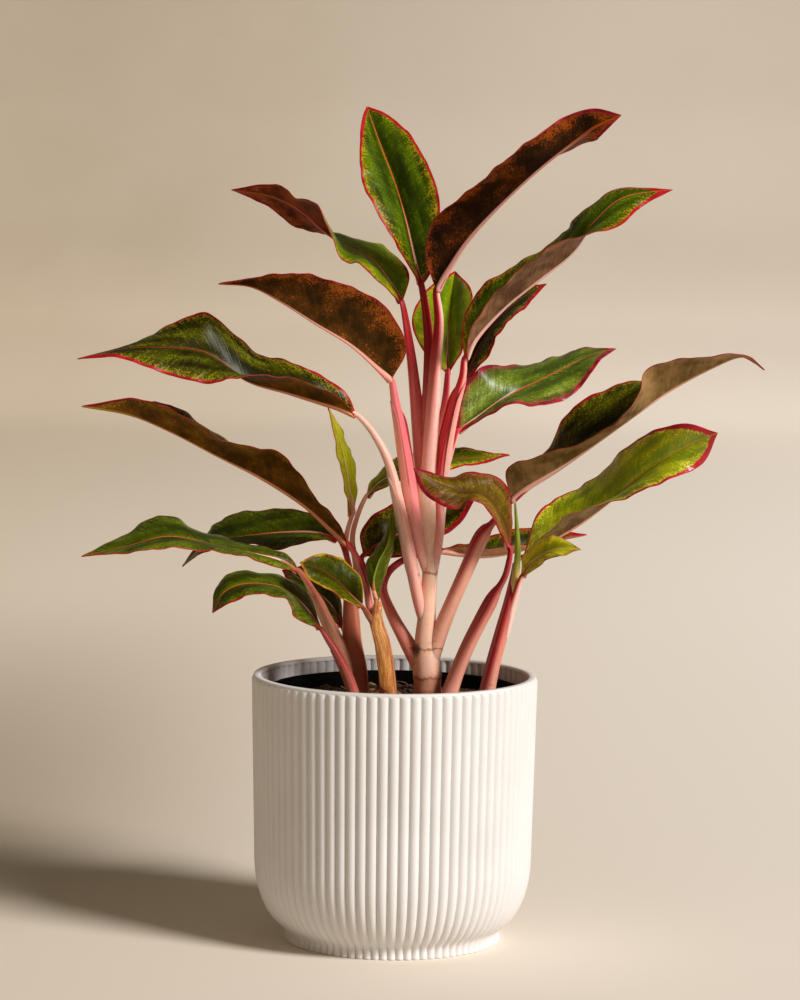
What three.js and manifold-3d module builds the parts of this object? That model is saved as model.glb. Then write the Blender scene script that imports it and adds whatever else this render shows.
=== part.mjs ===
// A potted Chinese evergreen: a fluted cachepot, the black nursery pot inside it, the soil, six shoots
// with their leaf stalks, and every leaf blade as a solid of its own.
// Millimetres, +Z up. The origin is the middle of the cachepot's underside. -Y is the front.
import * as THREE from "three";
import { mergeVertices } from "three/addons/utils/BufferGeometryUtils.js";
import Module from "manifold-3d";

const wasm = await Module();
wasm.setup();

// ---- Driving dimensions ------------------------------------------------------------------------

const GAP = 0.3; // between pieces that touch on the real plant

const POT_HEIGHT = 168;
const POT_RADIUS = 90; // over the ribs, at the rim
const POT_WALL = 6;
const POT_FLOOR = 8;
const BODY_RADIUS = 87.7; // over the ribs, where the wall meets the rounded corner
const CORNER_TOP = 58;
const CORNER = { across: 30, down: 52 }; // half axes of the rounded corner's ellipse
const FOOT = { radius: 68.5, height: 2, draw: 0.6 };
const RIB_COUNT = 84;
const RIB_DEPTH = 1.6;
const RIB_DOME = 3; // height over which a rib's upper end rounds off
const LIP = { height: 2.5, chamfer: 1.5 }; // smooth band above the ribs
const MOUTH_CHAMFER = { across: 1.4, down: 2 };

const NURSERY_HEIGHT = 151;
const NURSERY_TOP_RADIUS = 79;
const NURSERY_FOOT_RADIUS = 55;
const NURSERY_WALL = 1.4;
const NURSERY_ROLL = { reach: 2, height: 4, round: 0.8 }; // the rim, rolled outwards

const SOIL_LEVEL = 149;
const SOIL_RELIEF = 1.8;
const MOUND = { x: -18, y: -2, height: 4, spread: 500 }; // soil heaped round the left shoots
const STEM_SINK = 24; // how deep a shoot stands in its hole in the soil
const CHIPS = { count: 30, smallest: 1.6, largest: 3.6, fromWall: 7 }; // bark on the soil

const BLADE_THICKNESS = 0.9;
const BLADE_STATIONS = 12; // places along a long blade where it is cut across
const SHORT_BLADE_STATIONS = 8;
const BLADE_COLUMNS = 5; // points across: two margins, two half blades and the midrib
const BLADE_CAMBER = 0.08; // rise of a half blade over its chord, as a share of its width
const PROFILE_SHARPNESS = 1.75; // how quickly a blade narrows on both sides of its widest place
const LEAST_LEAN = 0.15; // a half blade's least lean to the front or back, as a share of its width
const BASE_REACH = 1.6; // half the blade's straight edges at the stalk and at the tip
const TIP_REACH = 0.7;
const STEM_SIDES = 8;
const STALK_SIDES = 6;
const THINNEST_STEM = 4; // radius from which a stem gets the sides of a stem, not of a stalk
const CAVITY_SEGMENTS = 48; // faces around the smooth inner walls

// ---- Leaves ------------------------------------------------------------------------------------
// base and tip: ends of the midrib [x, y, z]. width: across the flat blade. widest: where, as a share
// of the length. near: which way each half (left, right) leans from the midrib, 1 to the front, -1 to
// the back. rows, from base to tip: the midrib's [x, y, z], then the left margin's x, z and the right
// margin's x, z as seen from the front. How far a margin stands in front of the midrib or behind it
// follows from the blade's half width there.
const LEAVES = {
  leaf_top: {
    base: [14, 4, 412], tip: [-22, 61, 525], width: 54, widest: 0.52, near: [1, 1],
    rows: [[10, 7, 427, 3, 429, 21, 425], [4, 12, 452, -9, 449, 25, 458], [-3, 20, 475, -23, 474, 21, 479],
      [-13, 38, 500, -26, 496, 8, 504], [-19, 52, 516, -25, 516, -6, 518]],
  },
  leaf_top_right: {
    base: [23, -4, 409], tip: [132, -71, 518], width: 56, widest: 0.45, near: [-1, 1],
    rows: [[31, -10, 423, 28, 426, 16, 431], [43, -20, 442, 37, 448, 21, 454],
      [62, -34, 464, 58, 468, 45, 475], [85, -52, 486, 83, 488, 69, 496],
      [109, -63, 505, 117, 503, 97, 516]],
  },
  leaf_upper_right: {
    base: [41, -9, 367], tip: [167, -33, 474], width: 52, widest: 0.42, near: [-1, 1],
    rows: [[49, -16, 382, 39, 388, 44, 386], [66, -24, 401, 50, 412, 57, 408],
      [86, -33, 418, 74, 428, 77, 428], [105, -38, 434, 98, 444, 100, 443],
      [119, -38, 454, 109, 457, 130, 450], [137, -35, 469, 133, 474, 149, 464]],
  },
  leaf_behind_crown: {
    base: [31, 12, 357], tip: [36, 94, 420], width: 46, widest: 0.5, near: [1, 1],
    rows: [[31, 25, 372, 16, 370, 40, 372], [32, 46, 387, 8, 389, 45, 390], [34, 68, 403, 17, 408, 46, 409]],
  },
  leaf_behind_right: {
    base: [41, 23, 350], tip: [95, 74, 413], width: 44, widest: 0.5, near: [-1, 1],
    rows: [[50, 35, 371, 43, 379, 57, 369], [61, 46, 388, 53, 398, 65, 385],
      [78, 60, 403, 72, 409, 82, 400]],
  },
  leaf_mid_right: {
    base: [37, 4, 321], tip: [140, 65, 372], width: 52, widest: 0.5, near: [-1, 1],
    rows: [[50, 10, 330, 40, 346, 52, 329], [67, 18, 342, 54, 362, 70, 339],
      [86, 30, 351, 78, 361, 92, 338], [105, 41, 360, 100, 366, 112, 345],
      [121, 50, 367, 118, 372, 127, 364]],
  },
  leaf_long_right: {
    base: [71, -12, 279], tip: [224, -48, 371], width: 60, widest: 0.45, near: [-1, 1],
    rows: [[82, -16, 288, 79, 292, 68, 300], [101, -20, 301, 94, 312, 87, 310],
      [124, -26, 318, 107, 337, 118, 322], [146, -32, 335, 133, 352, 142, 342],
      [166, -36, 350, 159, 358, 153, 366], [193, -42, 366, 190, 369, 185, 373]],
  },
  leaf_low_right: {
    base: [79, -4, 243], tip: [196, -48, 326], width: 60, widest: 0.45, near: [-1, 1],
    rows: [[93, -7, 252, 88, 271, 91, 258], [114, -17, 266, 103, 282, 108, 275],
      [132, -24, 281, 123, 293, 135, 284], [155, -33, 302, 148, 319, 162, 296],
      [179, -41, 318, 174, 331, 187, 306]],
  },
  leaf_curled: {
    base: [71, -20, 249], tip: [10, -44, 300], width: 30, widest: 0.5, near: [1, -1],
    rows: [[64, -24, 264, 60, 263, 69, 273], [56, -29, 276, 48, 279, 68, 286],
      [45, -34, 285, 36, 276, 51, 295], [31, -38, 288, 24, 280, 36, 295], [18, -41, 293, 12, 288, 22, 293]],
  },
  leaf_small_right: {
    base: [78, -18, 232], tip: [113, -52, 254], width: 26, widest: 0.5, near: [-1, 1],
    rows: [[83, -27, 242, 79, 245, 87, 240], [92, -38, 250, 89, 258, 95, 248],
      [103, -46, 254, 101, 260, 105, 251]],
  },
  leaf_behind_cane_low: {
    base: [27, 29, 244], tip: [123, 60, 252], width: 34, widest: 0.5, near: [-1, 1],
    rows: [[39, 34, 244, 38, 247, 38, 241], [57, 40, 245, 55, 248, 55, 239],
      [76, 47, 247, 74, 255, 74, 241], [98, 54, 250, 98, 255, 100, 246]],
  },
  leaf_behind_cane_high: {
    base: [-20, 26, 277], tip: [72, 46, 304], width: 38, widest: 0.4, near: [-1, 1],
    rows: [[-11, 30, 287, -15, 289, -7, 285], [7, 34, 296, 2, 302, 9, 291], [30, 38, 301, 28, 309, 31, 296],
      [54, 42, 302, 54, 306, 54, 299]],
  },
  leaf_dark: {
    base: [-21, 17, 241], tip: [50, 46, 275], width: 44, widest: 0.5, near: [-1, 1],
    rows: [[-13, 23, 247, -23, 255, -6, 239], [0, 31, 253, -13, 267, 10, 242],
      [16, 37, 262, 5, 274, 27, 252], [35, 42, 270, 30, 277, 41, 261]],
  },
  leaf_upper_left: {
    base: [2, 6, 401], tip: [-108, 53, 471], width: 48, widest: 0.42, near: [1, -1],
    rows: [[-5, 11, 413, -10, 412, 6, 420], [-18, 20, 429, -25, 425, -8, 435],
      [-34, 28, 437, -38, 430, -28, 441], [-49, 35, 446, -50, 460, -50, 444],
      [-63, 42, 458, -66, 467, -66, 447], [-82, 47, 467, -80, 475, -86, 461]],
  },
  leaf_left_brown: {
    base: [-4, -8, 353], tip: [-110, -57, 414], width: 64, widest: 0.42, near: [1, -1],
    rows: [[-13, -14, 361, 5, 376, -12, 366], [-30, -23, 376, -10, 402, -22, 388],
      [-51, -33, 389, -36, 415, -46, 400], [-71, -42, 402, -61, 421, -67, 410],
      [-90, -50, 412, -83, 419, -88, 415]],
  },
  leaf_left: {
    base: [-25, -16, 332], tip: [-196, -52, 367], width: 56, widest: 0.42, near: [1, -1],
    rows: [[-39, -20, 337, -38, 345, -35, 349], [-67, -28, 346, -66, 357, -64, 364],
      [-93, -34, 354, -93, 358, -89, 371], [-118, -38, 371, -117, 353, -118, 395],
      [-146, -44, 374, -146, 360, -146, 385], [-169, -48, 373, -169, 368, -167, 374]],
  },
  leaf_long_left: {
    base: [-30, -4, 250], tip: [-192, -65, 339], width: 56, widest: 0.45, near: [1, -1],
    rows: [[-42, -9, 261, -35, 264, -39, 262], [-58, -17, 276, -50, 283, -57, 278],
      [-84, -27, 293, -71, 310, -81, 299], [-112, -36, 308, -103, 318, -114, 320],
      [-138, -45, 322, -132, 335, -139, 338], [-163, -54, 333, -159, 344, -162, 340]],
  },
  leaf_behind_left: {
    base: [-37, 14, 251], tip: [-138, 50, 229], width: 44, widest: 0.5, near: [1, -1],
    rows: [[-52, 21, 255, -52, 251, -50, 266], [-74, 28, 254, -74, 245, -78, 268],
      [-99, 37, 250, -98, 248, -109, 262], [-122, 45, 244, -121, 241, -124, 248]],
  },
  leaf_low_left: {
    base: [-60, -9, 233], tip: [-193, -52, 246], width: 46, widest: 0.55, near: [1, -1],
    rows: [[-72, -14, 241, -75, 237, -70, 245], [-94, -23, 247, -96, 246, -92, 250],
      [-119, -29, 253, -118, 250, -123, 258], [-142, -36, 257, -141, 252, -146, 269],
      [-167, -43, 251, -164, 249, -169, 257]],
  },
  leaf_drooping: {
    base: [-46, -19, 198], tip: [-112, -61, 213], width: 44, widest: 0.5, near: [1, -1],
    rows: [[-56, -30, 214, -61, 208, -53, 217], [-70, -38, 226, -68, 222, -66, 229],
      [-89, -48, 230, -88, 225, -94, 236], [-104, -56, 226, -102, 219, -110, 229]],
  },
  leaf_small_front: {
    base: [-20, -26, 213], tip: [-59, -45, 243], width: 30, widest: 0.5, near: [1, -1],
    rows: [[-28, -30, 222, -30, 219, -22, 233], [-39, -36, 233, -42, 227, -35, 244],
      [-50, -42, 240, -54, 234, -47, 248]],
  },
  leaf_upright: {
    base: [-28, 22, 264], tip: [-44, 30, 334], width: 22, widest: 0.5, near: [-1, 1],
    rows: [[-30, 23, 282, -32, 280, -25, 285], [-33, 25, 300, -36, 297, -29, 304],
      [-38, 27, 318, -40, 315, -36, 320]],
  },
  leaf_folded: {
    base: [-12, -24, 215], tip: [-3, -20, 275], width: 26, widest: 0.5, near: [1, 1],
    rows: [[-14, -26, 228, -18, 233, -8, 226], [-11, -25, 241, -17, 244, -4, 242],
      [-5, -22, 254, -8, 256, 0, 257]],
  },
  leaf_hidden_left: {
    base: [-33, 8, 196], tip: [-73, 37, 229], width: 34, widest: 0.5, near: [1, -1],
    rows: [[-41, 14, 210, -49, 207, -35, 213], [-53, 22, 219, -60, 214, -45, 227],
      [-64, 30, 226, -68, 222, -58, 232]],
  },
};

// ---- Shoots ------------------------------------------------------------------------------------
// Each shoot is one solid: its cane or sheath first, then the leaf stalks that grow from it, each a
// list of [x, y, z, radius]. The first row of the first stem is where the shoot leaves the soil.
const SHOOTS = {
  shoot_main: [
    [[21, 0, 149, 10.5], [20.5, 0, 168, 10.2], [20, 0, 174, 9], [19, 0, 186, 7], [18.5, 0, 205, 5.6],
      [19, 0, 235, 5.4], [20, 0, 262, 6.5], [19, 0, 285, 9.5], [20, 0, 300, 10]],
    [[21, 0, 174, 6], [28, -2, 195, 5], [36, -4, 216, 4.6], [45, -7, 238, 4.4], [54, -10, 258, 4],
      [60, -11, 263, 2.6], [66, -12, 273, 2.2], [71, -12, 279, 1.7]],
    [[17, 1, 172, 6], [6, 6, 190, 4.4], [-3, 11, 206, 3.2], [-8, 14, 220, 2.6], [-5, 20, 230, 2.4],
      [4, 27, 237, 2.2], [15, 29, 241, 2], [27, 29, 244, 1.6]],
    [[-8, 14, 220, 2.6], [-17, 14, 230, 2.2], [-22, 15, 237, 2], [-21, 17, 241, 1.6]],
    [[18, 3, 292, 5], [20, 5, 330, 3.6], [20, 6, 370, 2.6], [17, 5, 395, 2.2], [14, 4, 412, 1.8]],
    [[19, -3, 280, 6], [19, -5, 320, 4.6], [22, -5, 360, 3.4], [24, -4, 390, 2.5], [23, -4, 409, 1.9]],
    [[22, -3, 280, 6], [27, -7, 310, 5], [34, -9, 338, 3.4], [40, -9, 356, 2.4], [41, -9, 367, 1.9]],
    [[23, 4, 290, 4], [27, 9, 320, 3], [30, 11, 342, 2.2], [31, 12, 357, 1.7]],
    [[25, 3, 285, 4], [33, 9, 315, 3], [39, 19, 338, 2.2], [41, 23, 350, 1.7]],
    [[24, 1, 280, 4], [31, 3, 303, 3], [35, 4, 315, 2.2], [37, 4, 321, 1.7]],
    [[16, 3, 285, 5], [12, 6, 330, 3.4], [8, 7, 365, 2.4], [4, 6, 388, 2], [2, 6, 401, 1.7]],
    [[17, -4, 262, 5], [8, -8, 295, 5], [1, -9, 325, 3.2], [-3, -8, 342, 2.2], [-4, -8, 353, 1.8]],
    [[18, -2, 222, 4], [12, -9, 245, 4.2], [3, -15, 275, 3.6], [-5, -17, 302, 2.6], [-15, -17, 321, 2],
      [-25, -16, 332, 1.7]],
  ],
  shoot_right: [
    [[33, -13, 149, 5.2], [37, -12, 166, 4.6], [45, -13, 187, 4.2], [55, -16, 206, 3.8], [63, -18, 217, 3],
      [68, -19, 228, 2.2], [70, -20, 240, 2], [71, -20, 249, 1.5]],
  ],
  shoot_outer_right: [
    [[57, -8, 149, 5.4], [60, -9, 170, 5], [66, -10, 195, 4.6], [71, -11, 215, 3.8], [74, -9, 231, 2.6],
      [76, -8, 248, 1.8], [74, -7, 278, 0.8]],
    [[70, -11, 208, 3], [75, -14, 222, 2.4], [78, -18, 232, 1.6]],
    [[72, -10, 216, 2.6], [75, -6, 228, 2.2], [75, -4, 238, 2], [78, -4, 243, 1.6]],
  ],
  shoot_left_front: [
    [[-24, -19, 149, 4.2], [-28, -19, 166, 4], [-36, -19, 183, 3], [-42, -19, 192, 2], [-46, -19, 198, 1.5]],
  ],
  shoot_left: [
    [[-23, -4, 149, 6.5], [-24, -3, 170, 6.5], [-27, -1, 188, 6], [-28, 2, 206, 5], [-29, 4, 222, 3.6]],
    [[-25, -5, 165, 5], [-34, -6, 184, 4.6], [-45, -7, 207, 3.6], [-54, -8, 224, 2.2], [-60, -9, 233, 1.6]],
    [[-28, 2, 204, 3.6], [-29, 8, 230, 2.2], [-32, 12, 243, 1.8], [-36, 14, 251, 1.5]],
    [[-27, 3, 204, 3.6], [-30, 12, 232, 2], [-32, 18, 250, 1.7], [-29, 21, 264, 1.4]],
    [[-26, 3, 200, 3.6], [-25, 17, 230, 2.2], [-28, 24, 250, 1.8], [-25, 26, 265, 1.6], [-20, 26, 277, 1.4]],
    [[-28, 1, 178, 4], [-30, 5, 188, 2.4], [-33, 8, 196, 1.6]],
    [[-24, -4, 178, 4], [-20, -12, 194, 2.8], [-19, -20, 205, 2], [-20, -26, 213, 1.5]],
  ],
  shoot_papery: [
    [[-3, -14, 149, 5], [-5, -15, 168, 4.8], [-8, -18, 188, 4.4], [-11, -20, 203, 3.2], [-12, -23, 210, 2],
      [-12, -24, 215, 1.5]],
    [[-10, -18, 196, 3], [-16, -15, 212, 2.2], [-19, -11, 228, 2], [-24, -6, 241, 1.9], [-30, -4, 250, 1.6]],
  ],
};

const COLOURS = {
  outer_pot: "#e9e2d6", nursery_pot: "#161514", soil: "#2a211b",
  shoot_main: "#e9a79c", shoot_right: "#c96a68", shoot_outer_right: "#cf7f79",
  shoot_left_front: "#7d3a38", shoot_left: "#a5644f", shoot_papery: "#c9925c",
  leaf_top_right: "#4a3328", leaf_long_right: "#6a5a3a", leaf_curled: "#8a5a40", leaf_dark: "#27340f",
  leaf_upper_left: "#5a3a24", leaf_left_brown: "#5e4326", leaf_long_left: "#4a3826", leaf_upright: "#5f5a20",
  leaf_folded: "#5c4a20",
};
const GREEN_BLADE = "#4f6a1c"; // a blade that shows its upper face
const GLOSSY = { roughness: 0.4, metalness: 0 };
const MATT = { roughness: 0.85, metalness: 0 };

// ---- Geometry helpers --------------------------------------------------------------------------

const V = (x, y, z) => new THREE.Vector3(x, y, z);

function closedMesh(points, triangles) {
  const geometry = new THREE.BufferGeometry();
  const coordinates = points.flatMap((p) => [p.x, p.y, p.z]);
  geometry.setAttribute("position", new THREE.Float32BufferAttribute(coordinates, 3));
  geometry.setIndex(triangles.flat());
  return geometry;
}

function toSolid(geometry) {
  const bare = geometry.clone().deleteAttribute("normal").deleteAttribute("uv");
  const merged = mergeVertices(bare, 1e-4);
  return new wasm.Manifold(new wasm.Mesh({
    numProp: 3,
    vertProperties: new Float32Array(merged.attributes.position.array),
    triVerts: new Uint32Array(merged.index.array),
  }));
}

function toGeometry(solid) {
  const mesh = solid.getMesh();
  const geometry = new THREE.BufferGeometry();
  geometry.setAttribute("position", new THREE.BufferAttribute(Float32Array.from(mesh.vertProperties), 3));
  geometry.setIndex(new THREE.BufferAttribute(Uint32Array.from(mesh.triVerts), 1));
  return geometry;
}

function turned(profile, segments) {
  const points = profile.map(([r, z]) => new THREE.Vector2(r, z));
  return new THREE.LatheGeometry(points, segments).rotateX(Math.PI / 2);
}

// The cachepot: a turned body with its outside pushed in between the ribs, less its turned cavity.
function outerPot() {
  const corner = [76, 60, 42, 20].map((degrees) => {
    const angle = THREE.MathUtils.degToRad(degrees);
    return [BODY_RADIUS - CORNER.across * (1 - Math.cos(angle)), CORNER_TOP - CORNER.down * Math.sin(angle)];
  });
  const ribTop = POT_HEIGHT - LIP.height;
  const outside = [
    [0, 0], [FOOT.radius, 0], [FOOT.radius - FOOT.draw, FOOT.height], ...corner, [BODY_RADIUS, CORNER_TOP],
    [POT_RADIUS, ribTop - RIB_DOME], [POT_RADIUS, ribTop], [POT_RADIUS - LIP.chamfer, POT_HEIGHT],
    [0, POT_HEIGHT],
  ];
  const body = turned(outside, 2 * RIB_COUNT);
  const position = body.attributes.position;
  for (let i = 0; i < position.count; i++) {
    const [x, y, z] = [position.getX(i), position.getY(i), position.getZ(i)];
    const step = Math.round((Math.atan2(x, -y) / Math.PI) * RIB_COUNT);
    const between = step % 2 !== 0;
    const ribbed = z > FOOT.height / 2 && z < ribTop - RIB_DOME / 2;
    if (!between || !ribbed) continue;
    const radius = Math.hypot(x, y);
    position.setXY(i, (x * (radius - RIB_DEPTH)) / radius, (y * (radius - RIB_DEPTH)) / radius);
  }
  const mouth = POT_RADIUS - POT_WALL;
  const cutterTop = POT_HEIGHT + 1;
  const cavity = turned([
    [0, POT_FLOOR], [57, POT_FLOOR], [65, POT_FLOOR + 6], [75, POT_FLOOR + 19],
    [BODY_RADIUS - POT_WALL, CORNER_TOP], [mouth, POT_HEIGHT - MOUTH_CHAMFER.down],
    [mouth + MOUTH_CHAMFER.across, POT_HEIGHT], [mouth + MOUTH_CHAMFER.across, cutterTop], [0, cutterTop],
  ], CAVITY_SEGMENTS);
  return toSolid(body).subtract(toSolid(cavity));
}

// The thin nursery pot stands on the cachepot's floor, its rolled rim just below the ribbed mouth.
const nurseryBottom = POT_FLOOR + GAP;
const nurseryTop = nurseryBottom + NURSERY_HEIGHT;

function nurseryInnerRadius(z) {
  const share = (z - nurseryBottom) / NURSERY_HEIGHT;
  return THREE.MathUtils.lerp(NURSERY_FOOT_RADIUS, NURSERY_TOP_RADIUS, share) - NURSERY_WALL;
}

function nurseryPot() {
  const inner = nurseryInnerRadius(nurseryTop);
  const rolled = NURSERY_TOP_RADIUS + NURSERY_ROLL.reach;
  const floor = nurseryBottom + NURSERY_WALL;
  return toSolid(turned([
    [0, nurseryBottom], [NURSERY_FOOT_RADIUS, nurseryBottom],
    [NURSERY_TOP_RADIUS - GAP, nurseryTop - NURSERY_ROLL.height],
    [rolled, nurseryTop - NURSERY_ROLL.height + NURSERY_ROLL.round],
    [rolled, nurseryTop - NURSERY_ROLL.round], [rolled - NURSERY_ROLL.round, nurseryTop],
    [inner, nurseryTop], [nurseryInnerRadius(floor), floor], [0, floor],
  ], CAVITY_SEGMENTS));
}

// ---- Stems -------------------------------------------------------------------------------------

// A tapering round tube through [x, y, z, radius] rows, closed at both ends.
function taperedTube(rows, grow) {
  const curve = new THREE.CatmullRomCurve3(rows.map(([x, y, z]) => V(x, y, z)), false, "centripetal");
  const steps = 2 * (rows.length - 1);
  const sides = rows[0][3] > THINNEST_STEM ? STEM_SIDES : STALK_SIDES;
  const points = [];
  let across = V(1, 0, 0);
  for (let i = 0; i <= steps; i++) {
    const u = i / steps;
    const place = u * (rows.length - 1);
    const row = Math.min(Math.floor(place), rows.length - 2);
    const radius = THREE.MathUtils.lerp(rows[row][3], rows[row + 1][3], place - row) + grow;
    const centre = curve.getPoint(u);
    const along = curve.getTangent(u);
    across = across.clone().addScaledVector(along, -across.dot(along)).normalize();
    const up = along.clone().cross(across);
    for (let s = 0; s < sides; s++) {
      const angle = (2 * Math.PI * s) / sides;
      points.push(centre.clone().addScaledVector(across, radius * Math.cos(angle))
        .addScaledVector(up, radius * Math.sin(angle)));
    }
  }
  const triangles = [];
  for (let i = 0; i < steps; i++) {
    for (let s = 0; s < sides; s++) {
      const a = i * sides + s;
      const b = i * sides + ((s + 1) % sides);
      triangles.push([a, b, b + sides], [a, b + sides, a + sides]);
    }
  }
  const last = steps * sides;
  for (let s = 1; s < sides - 1; s++) {
    triangles.push([0, s + 1, s], [last, last + s, last + s + 1]);
  }
  return toSolid(closedMesh(points, triangles));
}

// A shoot's stems joined into one solid, with its foot sunk in the soil.
function shoot(stems, grow = 0) {
  const [x, y, z, radius] = stems[0][0];
  const foot = [x, y, z - STEM_SINK - grow, radius];
  const main = taperedTube([foot, ...stems[0]], grow);
  return stems.slice(1).reduce((solid, stem) => solid.add(taperedTube(stem, grow)), main);
}

// ---- Soil --------------------------------------------------------------------------------------

function soilHeight(x, y) {
  const lumps = Math.sin(x * 0.21 + 1.3) * Math.cos(y * 0.17 - 0.4) + 0.6 * Math.sin(x * 0.37 - y * 0.31);
  const mound = Math.exp(-((x - MOUND.x) ** 2 + (y - MOUND.y) ** 2) / MOUND.spread);
  return SOIL_LEVEL + SOIL_RELIEF * lumps + MOUND.height * mound;
}

// Park and Miller's random numbers, from 0 to 1.
function randomNumbers(seed) {
  let state = seed;
  return () => {
    state = (state * 48271) % 2147483647;
    return state / 2147483647;
  };
}

function soil(shoots) {
  const bottom = nurseryBottom + NURSERY_WALL + GAP;
  const rings = 7;
  const segments = 32;
  const lowestEdge = SOIL_LEVEL - 2 * SOIL_RELIEF;
  const wallRadius = (z) => nurseryInnerRadius(z) - GAP;
  const points = [V(0, 0, soilHeight(0, 0))];
  for (let ring = 1; ring <= rings; ring++) {
    for (let s = 0; s < segments; s++) {
      const angle = (2 * Math.PI * s) / segments;
      const radius = (wallRadius(lowestEdge) * ring) / rings;
      const [x, y] = [radius * Math.cos(angle), radius * Math.sin(angle)];
      points.push(V(x, y, soilHeight(x, y)));
    }
  }
  for (let s = 0; s < segments; s++) {
    const angle = (2 * Math.PI * s) / segments;
    points.push(V(wallRadius(bottom) * Math.cos(angle), wallRadius(bottom) * Math.sin(angle), bottom));
  }
  points.push(V(0, 0, bottom));
  const triangles = [];
  for (let s = 0; s < segments; s++) {
    const next = (s + 1) % segments;
    triangles.push([0, 1 + s, 1 + next]);
    for (let ring = 1; ring <= rings; ring++) {
      const a = 1 + (ring - 1) * segments;
      const b = a + segments;
      triangles.push([a + s, b + s, b + next], [a + s, b + next, a + next]);
    }
    const edge = 1 + rings * segments;
    triangles.push([points.length - 1, edge + next, edge + s]);
  }
  let solid = toSolid(closedMesh(points, triangles));
  const random = randomNumbers(7);
  for (let i = 0; i < CHIPS.count; i++) {
    const angle = 2 * Math.PI * random();
    const radius = (wallRadius(SOIL_LEVEL) - CHIPS.fromWall) * Math.sqrt(random());
    const size = THREE.MathUtils.lerp(CHIPS.smallest, CHIPS.largest, random());
    const chip = new THREE.OctahedronGeometry(size)
      .scale(1 + random(), 1, 0.6)
      .rotateX(random())
      .rotateZ(6 * random());
    const [x, y] = [radius * Math.cos(angle), radius * Math.sin(angle)];
    chip.translate(x, y, soilHeight(x, y) + 0.1 * size);
    solid = solid.add(toSolid(chip));
  }
  const holed = shoots.reduce((rest, stems) => rest.subtract(shoot(stems, GAP)), solid);
  // A chip that a stem's hole cuts off is dropped.
  return holed.decompose().reduce((largest, body) => (body.volume() > largest.volume() ? body : largest));
}

// ---- Leaf blades -------------------------------------------------------------------------------

function halfWidth(leaf, share) {
  const before = Math.pow(share / leaf.widest, PROFILE_SHARPNESS * leaf.widest);
  const after = Math.pow((1 - share) / (1 - leaf.widest), PROFILE_SHARPNESS * (1 - leaf.widest));
  return (leaf.width / 2) * before * after;
}

// The midrib and the two margins as curves. Both ends are short straight edges across the midrib.
function leafRails(leaf) {
  const rib = [V(...leaf.base), ...leaf.rows.map((row) => V(row[0], row[1], row[2])), V(...leaf.tip)];
  rib[0].addScaledVector(rib[1].clone().sub(rib[0]).normalize(), 3 * GAP);
  const lengths = rib.map((point, i) => (i ? point.distanceTo(rib[i - 1]) : 0));
  const total = lengths.reduce((sum, length) => sum + length);
  let travelled = 0;
  const margins = [[], []];
  leaf.rows.forEach((row, i) => {
    travelled += lengths[i + 1];
    const width = halfWidth(leaf, travelled / total);
    leaf.near.forEach((side, half) => {
      const [x, z] = [row[3 + 2 * half], row[4 + 2 * half]];
      const seen = Math.hypot(x - row[0], z - row[2]);
      const depth = Math.sqrt(Math.max(width ** 2 - seen ** 2, (LEAST_LEAN * width) ** 2));
      margins[half].push(V(x, row[1] - side * depth, z));
    });
  });
  const lastRow = leaf.rows.length - 1;
  const across = (row) => margins[0][row].clone().sub(margins[1][row]).normalize();
  const ends = [[rib[0], across(0), BASE_REACH], [rib[rib.length - 1], across(lastRow), TIP_REACH]];
  const [starts, stops] = ends.map(([point, direction, reach]) =>
    [1, -1].map((side) => point.clone().addScaledVector(direction, side * reach)));
  return [
    [starts[0], ...margins[0], stops[0]],
    rib,
    [starts[1], ...margins[1], stops[1]],
  ].map((points) => new THREE.CatmullRomCurve3(points, false, "catmullrom", 0.5));
}

// A blade: its surface arched between midrib and margins, given its thickness along the normals. Both
// faces are split along the same diagonals, so that they never cross.
function blade(leaf) {
  const [left, rib, right] = leafRails(leaf);
  const stations = leaf.rows.length > 3 ? BLADE_STATIONS : SHORT_BLADE_STATIONS;
  const columns = BLADE_COLUMNS;
  const surface = [];
  for (let i = 0; i < stations; i++) {
    const t = i / (stations - 1);
    const middle = rib.getPoint(t);
    const along = rib.getTangent(t);
    const arched = (margin, side) => {
      const reach = margin.clone().sub(middle);
      const arch = side * BLADE_CAMBER * reach.length();
      const rise = along.clone().cross(reach).normalize().multiplyScalar(arch);
      return middle.clone().addScaledVector(reach, 0.5).add(rise);
    };
    const [l, r] = [left.getPoint(t), right.getPoint(t)];
    surface.push([l, arched(l, 1), middle, arched(r, -1), r]);
  }
  const { clamp } = THREE.MathUtils;
  const at = (i, j) => surface[clamp(i, 0, stations - 1)][clamp(j, 0, columns - 1)];
  const [upper, lower] = [[], []];
  for (let i = 0; i < stations; i++) {
    for (let j = 0; j < columns; j++) {
      const lengthways = at(i + 1, j).clone().sub(at(i - 1, j));
      const crossways = at(i, j + 1).clone().sub(at(i, j - 1));
      const normal = crossways.cross(lengthways).normalize();
      upper.push(at(i, j).clone().addScaledVector(normal, BLADE_THICKNESS / 2));
      lower.push(at(i, j).clone().addScaledVector(normal, -BLADE_THICKNESS / 2));
    }
  }
  const under = upper.length;
  const triangles = [];
  const wall = (a, b) => triangles.push([a, a + under, b + under], [a, b + under, b]);
  for (let i = 0; i < stations - 1; i++) {
    const row = i * columns;
    for (let j = 0; j < columns - 1; j++) {
      const [a, b, c, d] = [row + j, row + j + 1, row + columns + j + 1, row + columns + j];
      triangles.push([a, b, c], [a, c, d]);
      triangles.push([a + under, c + under, b + under], [a + under, d + under, c + under]);
    }
    wall(row + columns, row);
    wall(row + columns - 1, row + 2 * columns - 1);
  }
  const lastRow = (stations - 1) * columns;
  for (let j = 0; j < columns - 1; j++) {
    wall(j, j + 1);
    wall(lastRow + j + 1, lastRow + j);
  }
  return toSolid(closedMesh([...upper, ...lower], triangles));
}

// ---- The plant ---------------------------------------------------------------------------------

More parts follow.
